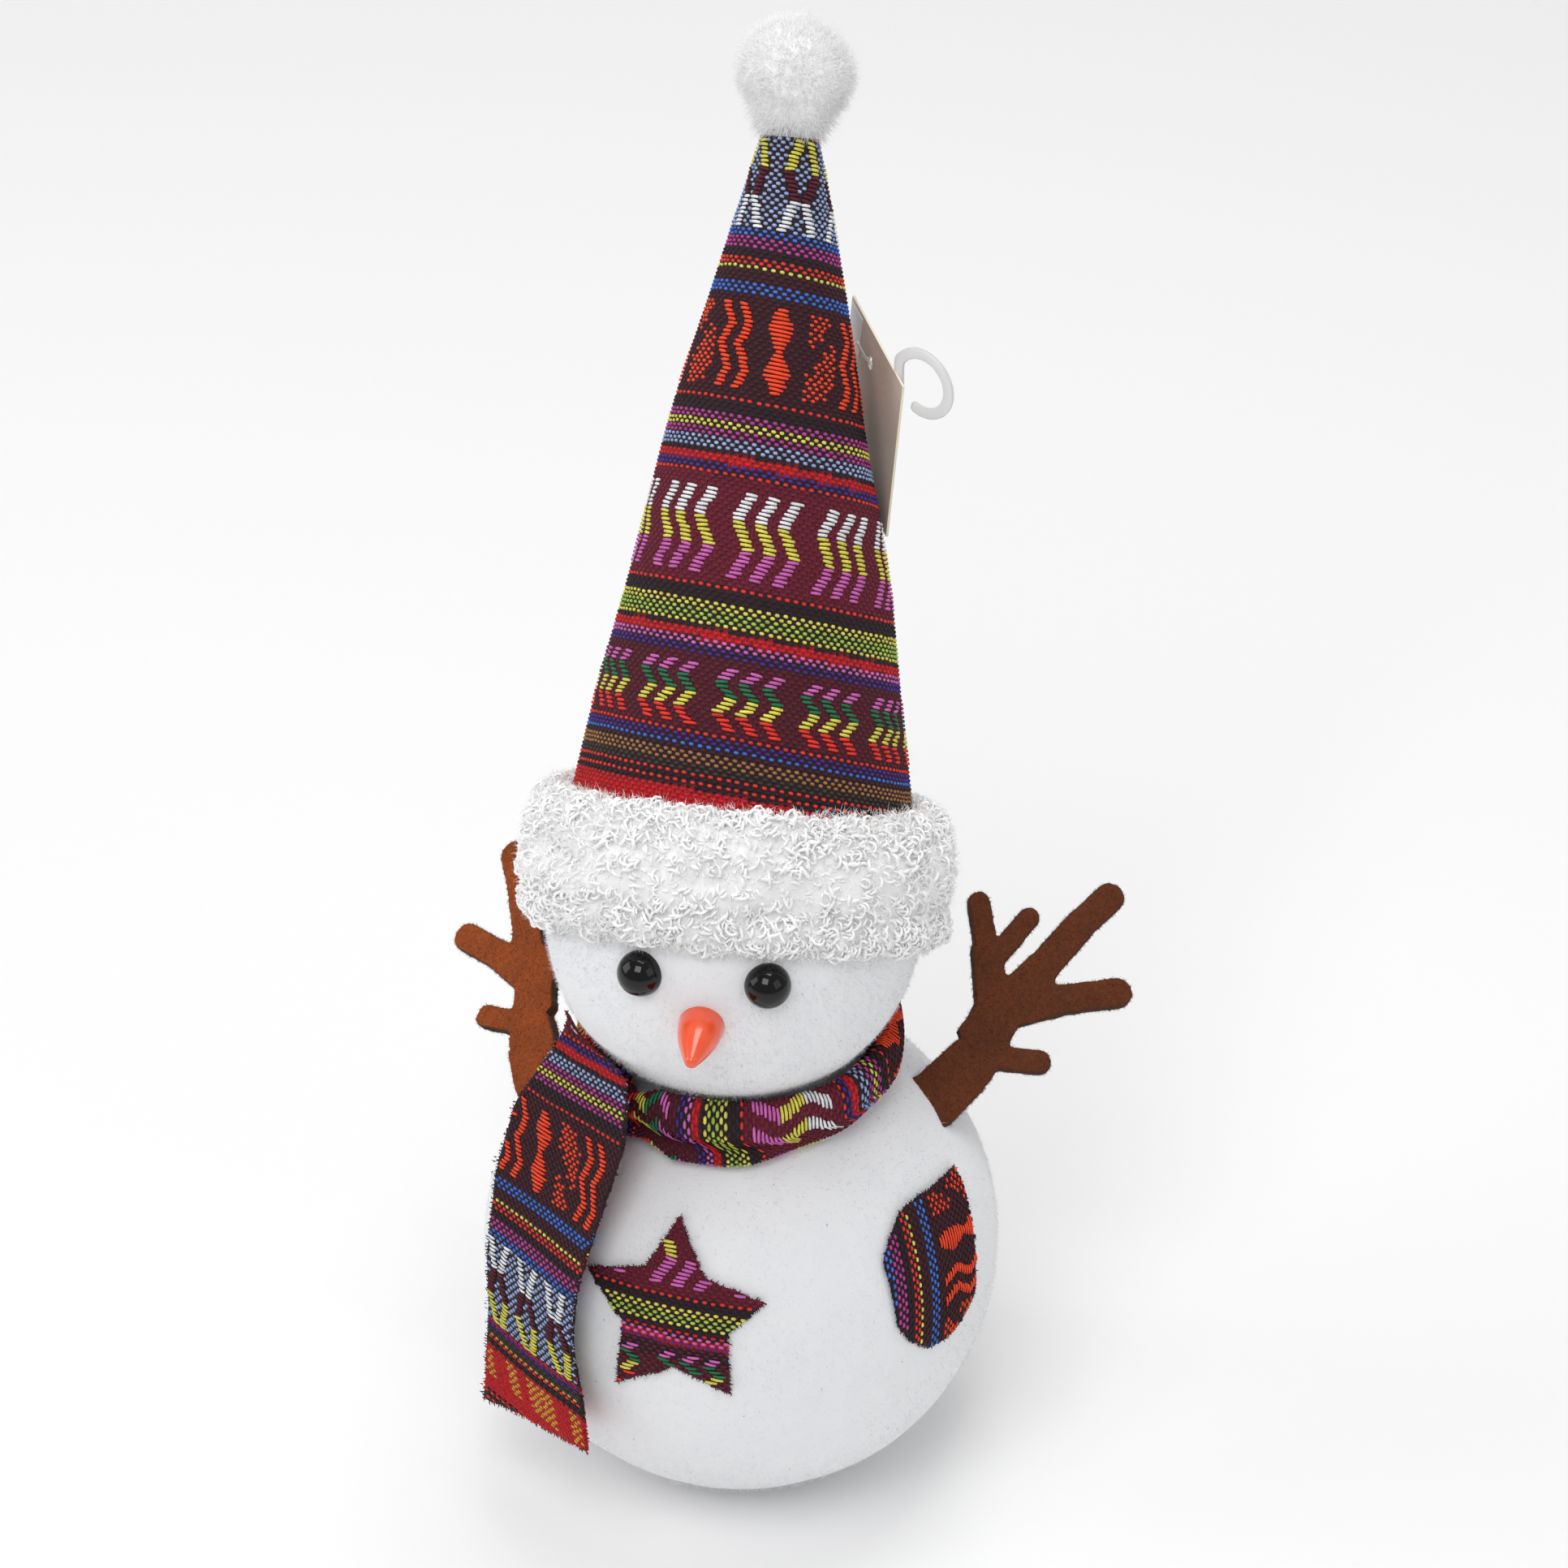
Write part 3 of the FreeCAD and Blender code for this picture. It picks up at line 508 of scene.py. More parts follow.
def strand_points(profile):
    """Template points of a strand: along, across and up."""
    points = []
    for along, radius, rise in profile:
        for side in range(SIDES if radius else 1):
            angle = 2 * math.pi * side / SIDES
            points.append((along, radius * math.sin(angle), rise + radius * FLAT * math.cos(angle)))
    return np.array(points)


CHAIN_ROW, JITTER, SHORT = 109, 0.05, 1.3


def weave(name, place, rows, span, inside, first_row, body="figure", hurry=0.0, slide=0.0):
    """Beads and floats over a surface. place(u, v) gives points and normals; v grows with the rows.
    hurry skips rows past a certain stripe, and slide moves the motifs before it along the row."""
    beads, bead_dye, floats, float_dye = [], [], [], []
    low, high = span
    picks = np.arange(math.floor(low / PICK), math.ceil(high / PICK))
    for step in range(*rows):
        row = first_row + step
        row += int(max(0, row - CHAIN_ROW) * hurry)
        yarn = DYES[ROWS[row % len(ROWS)][0]]
        v = (step + 0.5) * ROW
        over = picks[(picks + step) % 2 == 0]
        u = (over + 0.5) * PICK
        u = u[inside(u, np.full(len(u), v))]
        for start, length, colour in floats_in(row, low, high):
            start += slide if row < CHAIN_ROW else 0.0
            start += random.normal(0, 0.12)
            length *= 1 + random.normal(0, 0.05)
            ends = np.array([start + 0.15 * length, start + 0.85 * length])
            if not inside(ends, np.array([v, v])).all():
                continue
            u = u[(u < start - 0.1) | (u > start + length + 0.1)]
            tone = DYES[colour] * (1 + random.normal(0, 0.07))
            if length < SHORT:
                beads.append((start + length / 2, v))
                bead_dye.append(tone)
                continue
            floats.append((start + length / 2, v, length, random.normal(0, 0.16)))
            float_dye.append(tone)
        beads += [(x, v) for x in u]
        tones = 1 + random.normal(0, 0.1, len(u))
        bead_dye += list(yarn[None] * tones[:, None])
    pieces = []
    beads = np.array(beads)
    beads = beads + random.normal(0, JITTER, beads.shape)
    template = strand_points(BEAD)
    pieces.append((name + "_weft", beads[:, None] + template[:, :2], template[:, 2], 2, bead_dye))
    if floats:
        x, y, length, slant = np.array(floats).T[:, :, None]
        template = strand_points(FLOAT)
        spread = [x + template[:, 0] * length, y + template[:, 1] + template[:, 0] * slant]
        pieces.append((name + "_motifs", np.stack(spread, axis=-1), template[:, 2], 3, float_dye))
    made_things = []
    for label, spots, rise, rings, tones in pieces:
        corners, sizes = ring_faces(rings, SIDES)
        count, each = spots.shape[:2]
        points, normals = place(spots[..., 0].ravel(), spots[..., 1].ravel())
        points = points + normals * np.tile(rise, count)[:, None]
        faces, face_sizes = copies(corners, sizes, each, count)
        mesh = mesh_of(label, points, faces, face_sizes)
        dye(mesh, np.repeat(np.clip(np.array(tones), 0, 1), each, axis=0))
        flat = spots.reshape(-1, 2)
        reach = np.ptp(flat, axis=0)
        lay_map(mesh, BAKE_MAP, (flat - flat.min(axis=0)) / reach * 0.98 + 0.01)
        made_things.append(add_object(label, mesh, YARN, body))
    return made_things


# %% Cotton yarn and the warp
def ground_tones(rows):
    """The colour of the ground at each row: in plum, crimson, maroon and red rows the weft's colour darkened,
    a painted shade between the beads; in the others the dark warp.
    """
    return np.array([SHADED_WEFT.get(ROWS[int(row) % len(ROWS)][0], DYES["night"]) for row in rows])


# Painted shade: how much of a row's weft colour is left in the ground between its beads.
SHADE_SHARE = {"plum": 0.6, "crimson": 0.8, "maroon": 0.7, "red": 0.75}
SHADED_WEFT = {name: DYES[name] * share for name, share in SHADE_SHARE.items()}


def warp_cloth(name, dark):
    """The ground of the cloth: dark warp threads, a pick apart, drawn in the cloth's own mm map, with painted
    shade in the grooves between them.
    """
    made = material(name, dark, 0.88)
    cloth = node(made, "ShaderNodeUVMap", {"uv_map": "cloth_mm"})
    parts = node(made, "ShaderNodeSeparateXYZ", Vector=(cloth, 0))
    turn = node(made, "ShaderNodeMath", {"operation": "MULTIPLY"}, _0=(parts, 0), _1=2 * math.pi / PICK)
    wave = node(made, "ShaderNodeMath", {"operation": "COSINE"}, _0=(turn, 0))
    rib = node(made, "ShaderNodeMapRange", Value=(wave, 0), _1=-1.0, _2=1.0, _3=0.0, _4=1.0)
    cloud = node(made, "ShaderNodeTexNoise", Vector=(cloth, 0), Scale=2.2, Detail=3.0)
    # Painted light and shade: the dye is darkest in the grooves between the warp threads and brightest on
    # their crowns; the cloud adds random tone.
    blend = node(made, "ShaderNodeMath", {"operation": "MULTIPLY"}, _0=(rib, 0), _1=(cloud, "Fac"))
    tinted(made, (blend, 0), (0.0, 0.6), (0.5, 1.35))
    relief(made, (rib, 0), 0.8, 0.2)
    return made


# Dyed cotton is matt, with a fine twist across each yarn.
YARN = dyed("dyed cotton yarn", "#8E1230", 0.82, 0.25, 2.0, (0.72, 1.12), 0.5, 0.08)
WARP = warp_cloth("dark cotton warp", "#3E0C18")

# %% A thin sheet of the cloth
def thick_sheet(name, outer, normal, faces, cloth, rows, body="figure", thick=0.7):
    """A closed thin sheet: the outer points, the same points sunk by the thickness, and a rim."""
    count, each = len(outer), faces.shape[1]
    edges = np.concatenate([faces[:, [i, (i + 1) % each]] for i in range(each)])
    there = set(map(tuple, edges.tolist()))
    rim = np.array([(b, a, a + count, b + count) for a, b in edges.tolist() if (b, a) not in there])
    points = np.concatenate([outer, outer - normal * thick])
    corners = np.concatenate([faces.ravel(), faces[:, ::-1].ravel() + count, rim.ravel()])
    mesh = mesh_of(name, points, corners, np.array([each] * (2 * len(faces)) + [4] * len(rim)))
    lay_map(mesh, "cloth_mm", np.tile(cloth, (2, 1)))
    dye(mesh, np.tile(ground_tones(rows), (2, 1)))
    face_out(mesh)
    return add_object(name, mesh, WARP, body)


def face_out(mesh):
    shell = bmesh.new()
    shell.from_mesh(mesh)
    bmesh.ops.recalc_face_normals(shell, faces=shell.faces)
    shell.to_mesh(mesh)
    shell.free()


# %% [markdown]
# ## The hat
# The hat is cloth rolled into a cone over a stiff liner, a little bulged, and it leans back on the
# head. The threads stay parallel as on a flat cloth, so they run out at the seam behind. The stripes
# sit slightly askew, because the cloth was rolled by hand.

# %% The hat's shape and its map from the cloth
HAT_LOW, HAT_TIP = 20.0, 160.5
RIM_R, END_R, BULGE = 36.0, 5.9, 1.75
CLOTH = 0.8
SKEW, DROOP = 0.105, 0.1


def hat_radius(k):
    share = (k - HAT_LOW) / (HAT_TIP - HAT_LOW)
    return END_R + (RIM_R - END_R) * (1 - share) + 4 * BULGE * share * (1 - share)


def on_hat(theta, k):
    """Points on the hat at an angle from the front and a height along its axis, and their normals."""
    way = HAT_FRONT * np.cos(theta)[..., None] + HAT_SIDE * np.sin(theta)[..., None]
    slope = (hat_radius(k - 0.5) - hat_radius(k + 0.5))[..., None]
    normal = unit(way + HAT_UP * slope)
    soft = 0.35 * np.sin(3 * theta + 0.05 * k) + 0.25 * np.sin(5 * theta - 0.11 * k + 1.0)
    radius = hat_radius(k) - 0.15 + soft * np.clip((HAT_TIP - k) / 60, 0, 1)
    return HEAD + HAT_UP * k[..., None] + way * radius[..., None], normal


def from_cloth(u, v):
    """The angle and height on the hat of a place on the cloth, in mm, v down from the tip."""
    k = HAT_TIP - v
    for _ in range(5):
        radius = np.maximum(hat_radius(k), 3.0)
        theta = u / radius
        k = HAT_TIP - v - radius * (SKEW * np.sin(theta) + DROOP * (1 - np.cos(theta)))
    return theta, k


def hat_place(u, v):
    return on_hat(*from_cloth(u, v))


def on_hat_cloth(u, v):
    theta, k = from_cloth(u, v)
    return (np.abs(theta) < math.pi * 0.995) & (k > HAT_LOW + 1.0) & (k < HAT_TIP - 0.2)


def hat():
    columns, levels = 160, 120
    theta = np.linspace(-math.pi, math.pi, columns + 1)
    k = np.linspace(HAT_LOW, HAT_TIP, levels + 1)
    k2, theta2 = np.meshgrid(k, theta, indexing="ij")
    outer, normal = on_hat(theta2.ravel(), k2.ravel())
    radius = hat_radius(k2.ravel())
    down = HAT_TIP - k2.ravel()
    cloth = np.stack([theta2.ravel() * radius, down], axis=-1)
    turned = radius * (SKEW * np.sin(theta2.ravel()) + DROOP * (1 - np.cos(theta2.ravel())))
    faces = grid_faces(levels + 1, columns + 1)
    ground = thick_sheet("hat_ground", outer, normal, faces, cloth, (down - turned) / ROW, thick=CLOTH)
    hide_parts("hat_cloth")
    girth = math.pi * (RIM_R + 1)
    rows_down = int((HAT_TIP - HAT_LOW) / ROW)
    weave("hat", hat_place, (0, rows_down), (-girth, girth), on_hat_cloth, 0)


hat()

# %% [markdown]
# ## White fleece
# The balls are covered with brushed fleece: a smooth skin with a nap about a millimetre long. From a
# metre away the nap only softens the outline and the shadows, so each ball is a finely divided sphere
# with slow hand-made lumps, and thousands of short fibres stand on it as real spikes.

# %% Fleece skin
# Brushed polyester fleece is matt, with a soft sheen and a very fine grain.
FLEECE = material("brushed white fleece", "#ECEDF0", 0.95, Sheen_Weight=0.2, Sheen_Roughness=0.6)
mottle(FLEECE, "#E8E9ED", "#F0F1F3", 9.0)
grain(FLEECE, 0.45, 0.12, 0.7)
NAP = material("white fleece nap", "#F4F5F7", 0.9, Sheen_Weight=0.3)
FLUFF = material("white yarn fibres with painted glow", "#FFFFFF", 0.8, Sheen_Weight=0.5)
# Painted glow: these fibres give a little light of their own, so the pompom and the loose fibres look
# brighter.
glowing(FLUFF, 0.055)


def ball_points(subdivisions):
    shell = bmesh.new()
    bmesh.ops.create_icosphere(shell, subdivisions=subdivisions, radius=1.0)
    points = np.array([v.co[:] for v in shell.verts])
    faces = np.array([[v.index for v in f.verts] for f in shell.faces])
    shell.free()
    return points, faces


def spikes(name, roots, ways, lengths, widths, made, body="figure", colours=None, droop=0.0):
    """Closed three-sided fibres, each bent once on its way."""
    count = len(roots)
    ways = unit(ways)
    side = unit(np.cross(ways, random.normal(size=(count, 3))))
    other = np.cross(ways, side)
    fall = side * droop * random.normal(size=(count, 1)) + other * droop * random.normal(size=(count, 1))
    lengths = np.broadcast_to(lengths, count)[:, None]
    widths = np.broadcast_to(widths, count)[:, None]
    points = []
    for share, thick in ((0.0, 0.5), (0.55, 0.35)):
        spot = roots + ways * lengths * share + fall * lengths * share**2
        for k in range(3):
            angle = 2 * math.pi * k / 3
            points.append(spot + (side * math.cos(angle) + other * math.sin(angle)) * widths * thick)
    points.append(roots + ways * lengths + fall * lengths)
    points = np.stack(points, axis=1)
    corners = np.array([0, 1, 4, 3, 1, 2, 5, 4, 2, 0, 3, 5, 3, 4, 6, 4, 5, 6, 5, 3, 6, 0, 2, 1])
    sizes = np.array([4, 4, 4, 3, 3, 3, 3])
    faces, face_sizes = copies(corners, sizes, 7, count)
    mesh = mesh_of(name, points.reshape(-1, 3), faces, face_sizes)
    if colours is not None:
        dye(mesh, np.repeat(np.clip(colours, 0, 1), 7, axis=0))
    lane = np.arange(count) / count
    cell = np.stack([lane, (lane * 89.0) % 1.0], axis=-1)[:, None] * 0.97
    lay_map(mesh, BAKE_MAP, (cell + random.uniform(0.001, 0.01, (count, 7, 2))).reshape(-1, 2))
    return add_object(name, mesh, made, body)


def scatter(count, centre, radius, keep):
    """Even random places on a ball for which keep(point) holds, with their normals."""
    normal = unit(random.normal(size=(count * 2, 3)))
    spots = centre + normal * radius
    held = keep(spots)
    return spots[held][:count], normal[held][:count]


def fleece_ball(name, node_name, centre, radius, flat, seed):
    """A fleece skin with slow lumps, cut flat at the floor if flat is true."""
    points, faces = ball_points(6)
    slow = lumps(points * radius, 22.0, 0.45, seed) + lumps(points * radius, 7.0, 0.14, seed + 1)
    spots = centre + points * (radius + slow - 0.1)[:, None]
    if flat:
        spots[:, 2] = np.maximum(spots[:, 2], FLOOR_Z)
    mesh = mesh_of(name, spots, faces)
    skin = add_object(name, mesh, FLEECE)
    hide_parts(node_name)


def nap(name, centre, radius, count, keep):
    """Short fibres that stand on a ball, and a few dark specks caught in them."""
    roots, normal = scatter(count, centre, radius - 0.15, keep)
    ways = normal + random.normal(0, 0.45, normal.shape)
    lengths = random.uniform(0.45, 1.05, len(roots))
    spikes(name, roots, ways, lengths, 0.09, NAP, droop=0.5)
    roots, normal = scatter(70, centre, radius + 0.15, keep)
    ways = np.cross(normal, random.normal(size=normal.shape)) + normal * 0.1
    lengths = random.uniform(0.25, 0.6, len(roots))
    spikes(name + "_specks", roots, ways, lengths, 0.12, SPECK)


SPECK = material("dark lint", "#2B2E38", 0.9)
grain(SPECK, 0.1, 0.02)
nap("body_nap", BODY, BODY_R, 19900, lambda p: p[:, 2] > FLOOR_Z + 0.8)
nap("head_nap", HEAD, HEAD_R, 18000, lambda p: (p - HEAD) @ HAT_UP < 4.0)
fleece_ball("body_skin", "body_fleece", BODY, BODY_R, flat=True, seed=1)
fleece_ball("head_skin", "head_fleece", HEAD, HEAD_R, flat=False, seed=3)

# %% [markdown]
# ## The curly trim and the pompom
# The trim is boucle: yarn that curls into small loops all over. A lumpy ring gives the bulk, and each
# loop on it is a short coil of tube. The pompom is cut yarn, so it is a lumpy ball of straight fibres.

# %% Curly trim
TRIM_R, TRIM_LOW, TRIM_HIGH = 45.3, -4.0, 25.0
CLUMPS = (6.8, 1.8, 5)
FOLD_AT, FOLD_DEEP = 0.62, 1.1
INSIDE, MID_R, MID_UP = 37.4, 38.0, 10.5


def trim_outline(t):
    """Radius and height round the outside of the trim: 0 is its top inner edge, 1 the bottom one."""
    angle = math.pi * (t - 0.5)
    bulge = np.sign(np.cos(angle)) * np.abs(np.cos(angle)) ** 0.62
    rise = -np.sign(np.sin(angle)) * np.abs(np.sin(angle)) ** 0.8
    half = (TRIM_HIGH - TRIM_LOW) / 2 - 1.0
    lean = 1.6 * (0.5 - t)
    fold = FOLD_DEEP * np.exp(-(((t - FOLD_AT) / 0.06) ** 2))
    radius = INSIDE + (TRIM_R - 1.2 - INSIDE) * bulge - lean - fold
    return np.stack([radius, (TRIM_HIGH + TRIM_LOW) / 2 + half * rise], axis=-1)


def hat_spot(theta, radius, k):
    """The place at an angle from the front, a radius from the hat's axis and a height along it."""
    way = HAT_FRONT * np.cos(theta)[..., None] + HAT_SIDE * np.sin(theta)[..., None]
    return HEAD + way * np.asarray(radius)[..., None] + HAT_UP * np.asarray(k)[..., None]


def trim():
    columns, across = 240, 30
    outer = trim_outline(np.linspace(0, 1, across))
    heights = np.linspace(-3.2, 23.5, 10)
    inner = [(max(INSIDE - 1.0, math.sqrt(max(HEAD_R**2 - k * k, 0)) + 0.3), k) for k in heights]
    outline = np.concatenate([outer, inner])
    theta = np.arange(columns) * 2 * math.pi / columns
    th, r = np.meshgrid(theta, outline[:, 0], indexing="ij")
    k = np.meshgrid(theta, outline[:, 1], indexing="ij")[1]
    points = hat_spot(th.ravel(), r.ravel(), k.ravel())
    push = lumps(points, *CLUMPS) + lumps(points, 2.2, 1.1, 6)
    push = push * np.tile(np.arange(len(outline)) < across, columns)
    way = unit(points - hat_spot(th.ravel(), MID_R, MID_UP))
    points = points + way * push[:, None]
    faces = grid_faces(columns, len(outline), ring_rows=True, ring_columns=True)
    ring = add_object("trim_band", mesh_of("trim_band", points, faces), BOUCLE)
    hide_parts("hat_trim")


def curls(name, count, loop, thick):
    """Short coils of yarn all over the outside of the trim."""
    theta = random.uniform(-math.pi, math.pi, count)
    t = random.uniform(0.02, 0.97, count)
    at = trim_outline(t)
    root = hat_spot(theta, *at.T)
    along = unit(hat_spot(theta, *trim_outline(t + 0.01).T) - root)
    round_way = unit(np.cross(along, hat_spot(theta, at[:, 0] + 1, at[:, 1]) - root))
    out = unit(np.cross(round_way, along))
    out = out * np.sign(np.sum(out * (root - hat_spot(theta, MID_R, MID_UP)), axis=-1, keepdims=True))
    mix = random.uniform(0, 2 * math.pi, count)[:, None]
    axis = unit(along * np.cos(mix) + round_way * np.sin(mix) + out * random.normal(0, 0.45, (count, 1)))
    first = unit(np.cross(axis, out))
    second = np.cross(axis, first)
    stations, sides = 8, 4
    turns = random.uniform(0.75, 1.25, count)[:, None]
    size = loop * random.uniform(0.7, 1.3, count)[:, None]
    phase = random.uniform(0, 2 * math.pi, count)[:, None]
    x = np.linspace(0, 1, stations + 2)[None]
    angle = phase + 2 * math.pi * turns * x
    pitch = (x - 0.5) * turns * thick * 3.2
    lift = (0.9 + lumps(root, *CLUMPS) + lumps(root, 2.2, 0.6, 6))[:, None, None]
    centre = root[:, None] + out[:, None] * (size[..., None] * 0.35 + lift - 1.0)
    radial = first[:, None] * np.cos(angle)[..., None] + second[:, None] * np.sin(angle)[..., None]
    line = centre + radial * size[..., None] + axis[:, None] * pitch[..., None]
    points = [line[:, :1]]
    for station in range(1, stations + 1):
        taper = thick * (0.55 + 0.45 * math.sin(math.pi * station / (stations + 1)))
        for side in range(sides):
            a = 2 * math.pi * side / sides
            offset = radial[:, station] * math.cos(a) + axis * math.sin(a)
            points.append((line[:, station] + offset * taper)[:, None])
    points.append(line[:, -1:])
    points = np.concatenate(points, axis=1)
    corners, face_sizes = ring_faces(stations, sides)
    faces, all_sizes = copies(corners, face_sizes, points.shape[1], count)
    mesh = mesh_of(name, points.reshape(-1, 3), faces, all_sizes)
    cell = np.stack([theta / (2 * math.pi) + 0.5, t], axis=-1)[:, None] * 0.97
    cell = cell + random.uniform(0.001, 0.012, (count, points.shape[1], 2))
    lay_map(mesh, BAKE_MAP, cell.reshape(-1, 2))
    add_object(name, mesh, CURL)


BOUCLE = material("white boucle yarn with painted glow", "#F6F6F6", 0.8, Sheen_Weight=0.4)
grain(BOUCLE, 0.3, 0.08, 0.6)
CURL = material("white boucle curls with painted glow", "#FFFFFF", 0.5, Sheen_Weight=0.4)
# Painted glow: both trim materials give a little light of their own, so the white trim looks brighter.
glowing(BOUCLE, 0.015)
glowing(CURL, 0.015)
trim()
curls("trim_curls", count=3000, loop=1.05, thick=0.36)
curls("trim_small_curls", count=3000, loop=0.8, thick=0.28)


def trim_fuzz(count):
    """Fine loose fibres over the curls."""
    theta, t = random.uniform(-math.pi, math.pi, count), random.uniform(0.0, 0.98, count)
    root = hat_spot(theta, *trim_outline(t).T)
    out = unit(root - hat_spot(theta, MID_R + 1.0, MID_UP))
    root = root + out * random.uniform(0.2, 1.6, (count, 1))
    lengths = random.uniform(0.8, 1.9, count)
    ways = out + random.normal(0, 0.7, out.shape)
    spikes("trim_fuzz", root, ways, lengths, 0.13, FLUFF, droop=0.6)


trim_fuzz(19500)


# %% Pompom
def on_pompom(ways, depth):
    """Places so deep in the lumpy ball, drawn down to the hat underneath, and how far under they are."""
    shape = lumps(ways * POMPOM_R, 9.0, 1.3, 9) + lumps(ways * POMPOM_R, 3.0, 0.35, 10)
    low = np.clip((-ways @ HAT_UP - 0.6) / 0.3, 0, 1)
    return POMPOM + ways * (POMPOM_R - depth + shape)[:, None] - HAT_UP * (2.0 * low)[:, None], low


def pompom():
    points, faces = ball_points(5)
    spots, _ = on_pompom(points, 1.6)
    core = add_object("pompom_core", mesh_of("pompom_core", spots, faces), FLUFF, "pompom")
    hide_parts("pompom")
    count = 19800
    normal = unit(random.normal(size=(count, 3)))
    roots, low = on_pompom(normal, 2.2)
    ways = normal + random.normal(0, 0.38, normal.shape)
    lengths = random.uniform(1.4, 3.4, count) + (random.random(count) < 0.06) * 1.2
    lengths += 1.2 * low
    spikes("pompom_pile", roots, ways, lengths, 0.13, FLUFF, "pompom", droop=0.35)


pompom()

# %% [markdown]
# ## Face
# The eyes are turned from a dome, a rim and a shank, as doll eyes are, in polished black plastic. The
# nose is a moulded carrot with a round tip. Both are lathe shapes: one outline turned about its axis.

# %% Turned pieces
def lathe(name, outline, centre, axis, made, segments=64):
    """A closed shape turned about an axis; the outline is (radius, height) from the tip down."""
    axis = unit(axis)
    first = unit(np.cross(axis, [0.3, 0.1, 0.9]))
    second = np.cross(axis, first)
    angle = np.arange(segments) * 2 * math.pi / segments
    way = first * np.cos(angle)[:, None] + second * np.sin(angle)[:, None]
    rings = [centre + axis * h + way * r for r, h in outline[1:-1]]
    points = np.concatenate([[centre + axis * outline[0][1]]] + rings + [[centre + axis * outline[-1][1]]])
    corners, sizes = ring_faces(len(rings), segments)
    return add_object(name, mesh_of(name, points, corners, sizes), made)


def arc(radius, start, stop, steps, centre=0.0):
    """Outline points on an arc about the axis, by angle from the tip in degrees."""
    angles = np.radians(np.linspace(start, stop, steps))
    return [(radius * math.sin(a), centre + radius * math.cos(a)) for a in angles]


EYE_R, EYE_SPREAD, EYE_LIFT, FACE_TURN = 4.8, 20.0, 13.7, 1.0
POLISHED = material("polished black plastic", "#030304", 0.08, Specular_IOR_Level=0.4)
grain(POLISHED, 2.0, 0.004, 0.2)
CARROT = material("moulded orange plastic", "#F2542C", 0.2, Coat_Weight=0.5, Subsurface_Weight=0.12)
CARROT.node_tree.nodes["Principled BSDF"].inputs["Subsurface Scale"].default_value = 0.002
mottle(CARROT, "#EE4B24", "#F5643A", 4.0)


def face():
    dome = arc(EYE_R, 0, 104, 26)
    back = [(EYE_R * 0.9, -1.6), (1.2, -1.9), (1.0, -2.2), (1.0, -6.0), (0.8, -6.4), (0.0, -6.4)]
    for side, name in ((-1, "eye_left"), (1, "eye_right")):
        way = outward(FACE_TURN + side * EYE_SPREAD, EYE_LIFT)
        eye = lathe(name + "_button", dome + back, HEAD + way * HEAD_R, way, POLISHED)
        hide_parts(name)
    length, base, tip = 13.1, 4.65, 1.55
    outline = arc(tip, 0, 75, 9, length - tip)
    for t in np.linspace(0.06, 1.0, 22):
        swell = (base - tip) * math.sin(math.pi / 2 * t) ** 1.05
        outline.append((tip + swell, length - tip * 0.75 - (length - tip) * t))
    outline += [(base + 0.1, -0.4), (base * 0.8, -1.2), (1.5, -1.6), (1.5, -7.0), (0.0, -7.4)]
    way = outward(FACE_TURN, 0.0)
    nose = lathe("carrot_nose", outline, HEAD + way * HEAD_R, way, CARROT)
    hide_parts("nose")


face()

# %% [markdown]
# ## Cut pieces of the cloth
# The scarf and the patches are cut from the same bolt, so they show other rows of the same stripes.
# Each is a thin closed sheet with the yarns laid over it. The cut edges are ragged, and yarn ends
# stick out of them, because the cloth is neither hemmed nor bound.

# %% Outlines and ragged edges
def inside_outline(spots, outline):
    x, y = spots[:, 0][:, None], spots[:, 1][:, None]
    ax, ay = outline[:, 0], outline[:, 1]
    bx, by = np.roll(ax, -1), np.roll(ay, -1)
    rise = np.where(by == ay, 1e-9, by - ay)
    crosses = ((ay > y) != (by > y)) & (x < ax + (y - ay) / rise * (bx - ax))
    return np.sum(crosses, axis=1) % 2 == 1


def ragged(outline, gap=0.45, wild=0.13):
    """An outline divided into short steps and roughened."""
    outline = np.array(outline, float)
    edge = []
    for a, b in zip(outline, np.roll(outline, -1, axis=0)):
        steps = max(1, int(np.linalg.norm(b - a) / gap))
        edge += [a + (b - a) * s / steps for s in range(steps)]
    edge = np.array(edge)
    return edge + random.normal(0, wild, edge.shape)


def filled(edge, gap=0.8):
    """Triangles over the inside of an outline."""
    low, high = edge.min(axis=0), edge.max(axis=0)
    x, y = np.meshgrid(np.arange(low[0], high[0], gap), np.arange(low[1], high[1], gap))
    inner = np.stack([x.ravel(), y.ravel()], axis=-1)
    near = np.min(np.linalg.norm(inner[:, None] - edge[None], axis=-1), axis=1)
    inner = inner[inside_outline(inner, edge) & (near > 0.4)]
    verts = [Vector(p) for p in np.concatenate([edge, inner])]
    points, _, faces, *_ = geometry.delaunay_2d_cdt(verts, [], [list(range(len(edge)))], 1, 1e-5)
    faces = np.array([f for f in faces if len(f) == 3])
    used = np.unique(faces)
    points = np.array([p[:] for p in points])[used]
    return points, np.searchsorted(used, faces)


def yarn_ends(name, roots, ways, rows, body="figure", length=(0.5, 1.3), width=0.34):
    """Yarn ends at a cut edge, each of the colour of its row or dark like the warp."""
    count = len(roots)
    tones = np.array([DYES[ROWS[int(r) % len(ROWS)][0]] for r in rows])
    dark = random.random(count) < 0.55
    tones[dark] = DYES["night"]
    lengths = random.uniform(*length, count)
    ways = unit(ways) + random.normal(0, 0.35, ways.shape)
    return spikes(name, roots, ways, lengths, width, YARN, body, tones, droop=0.4)


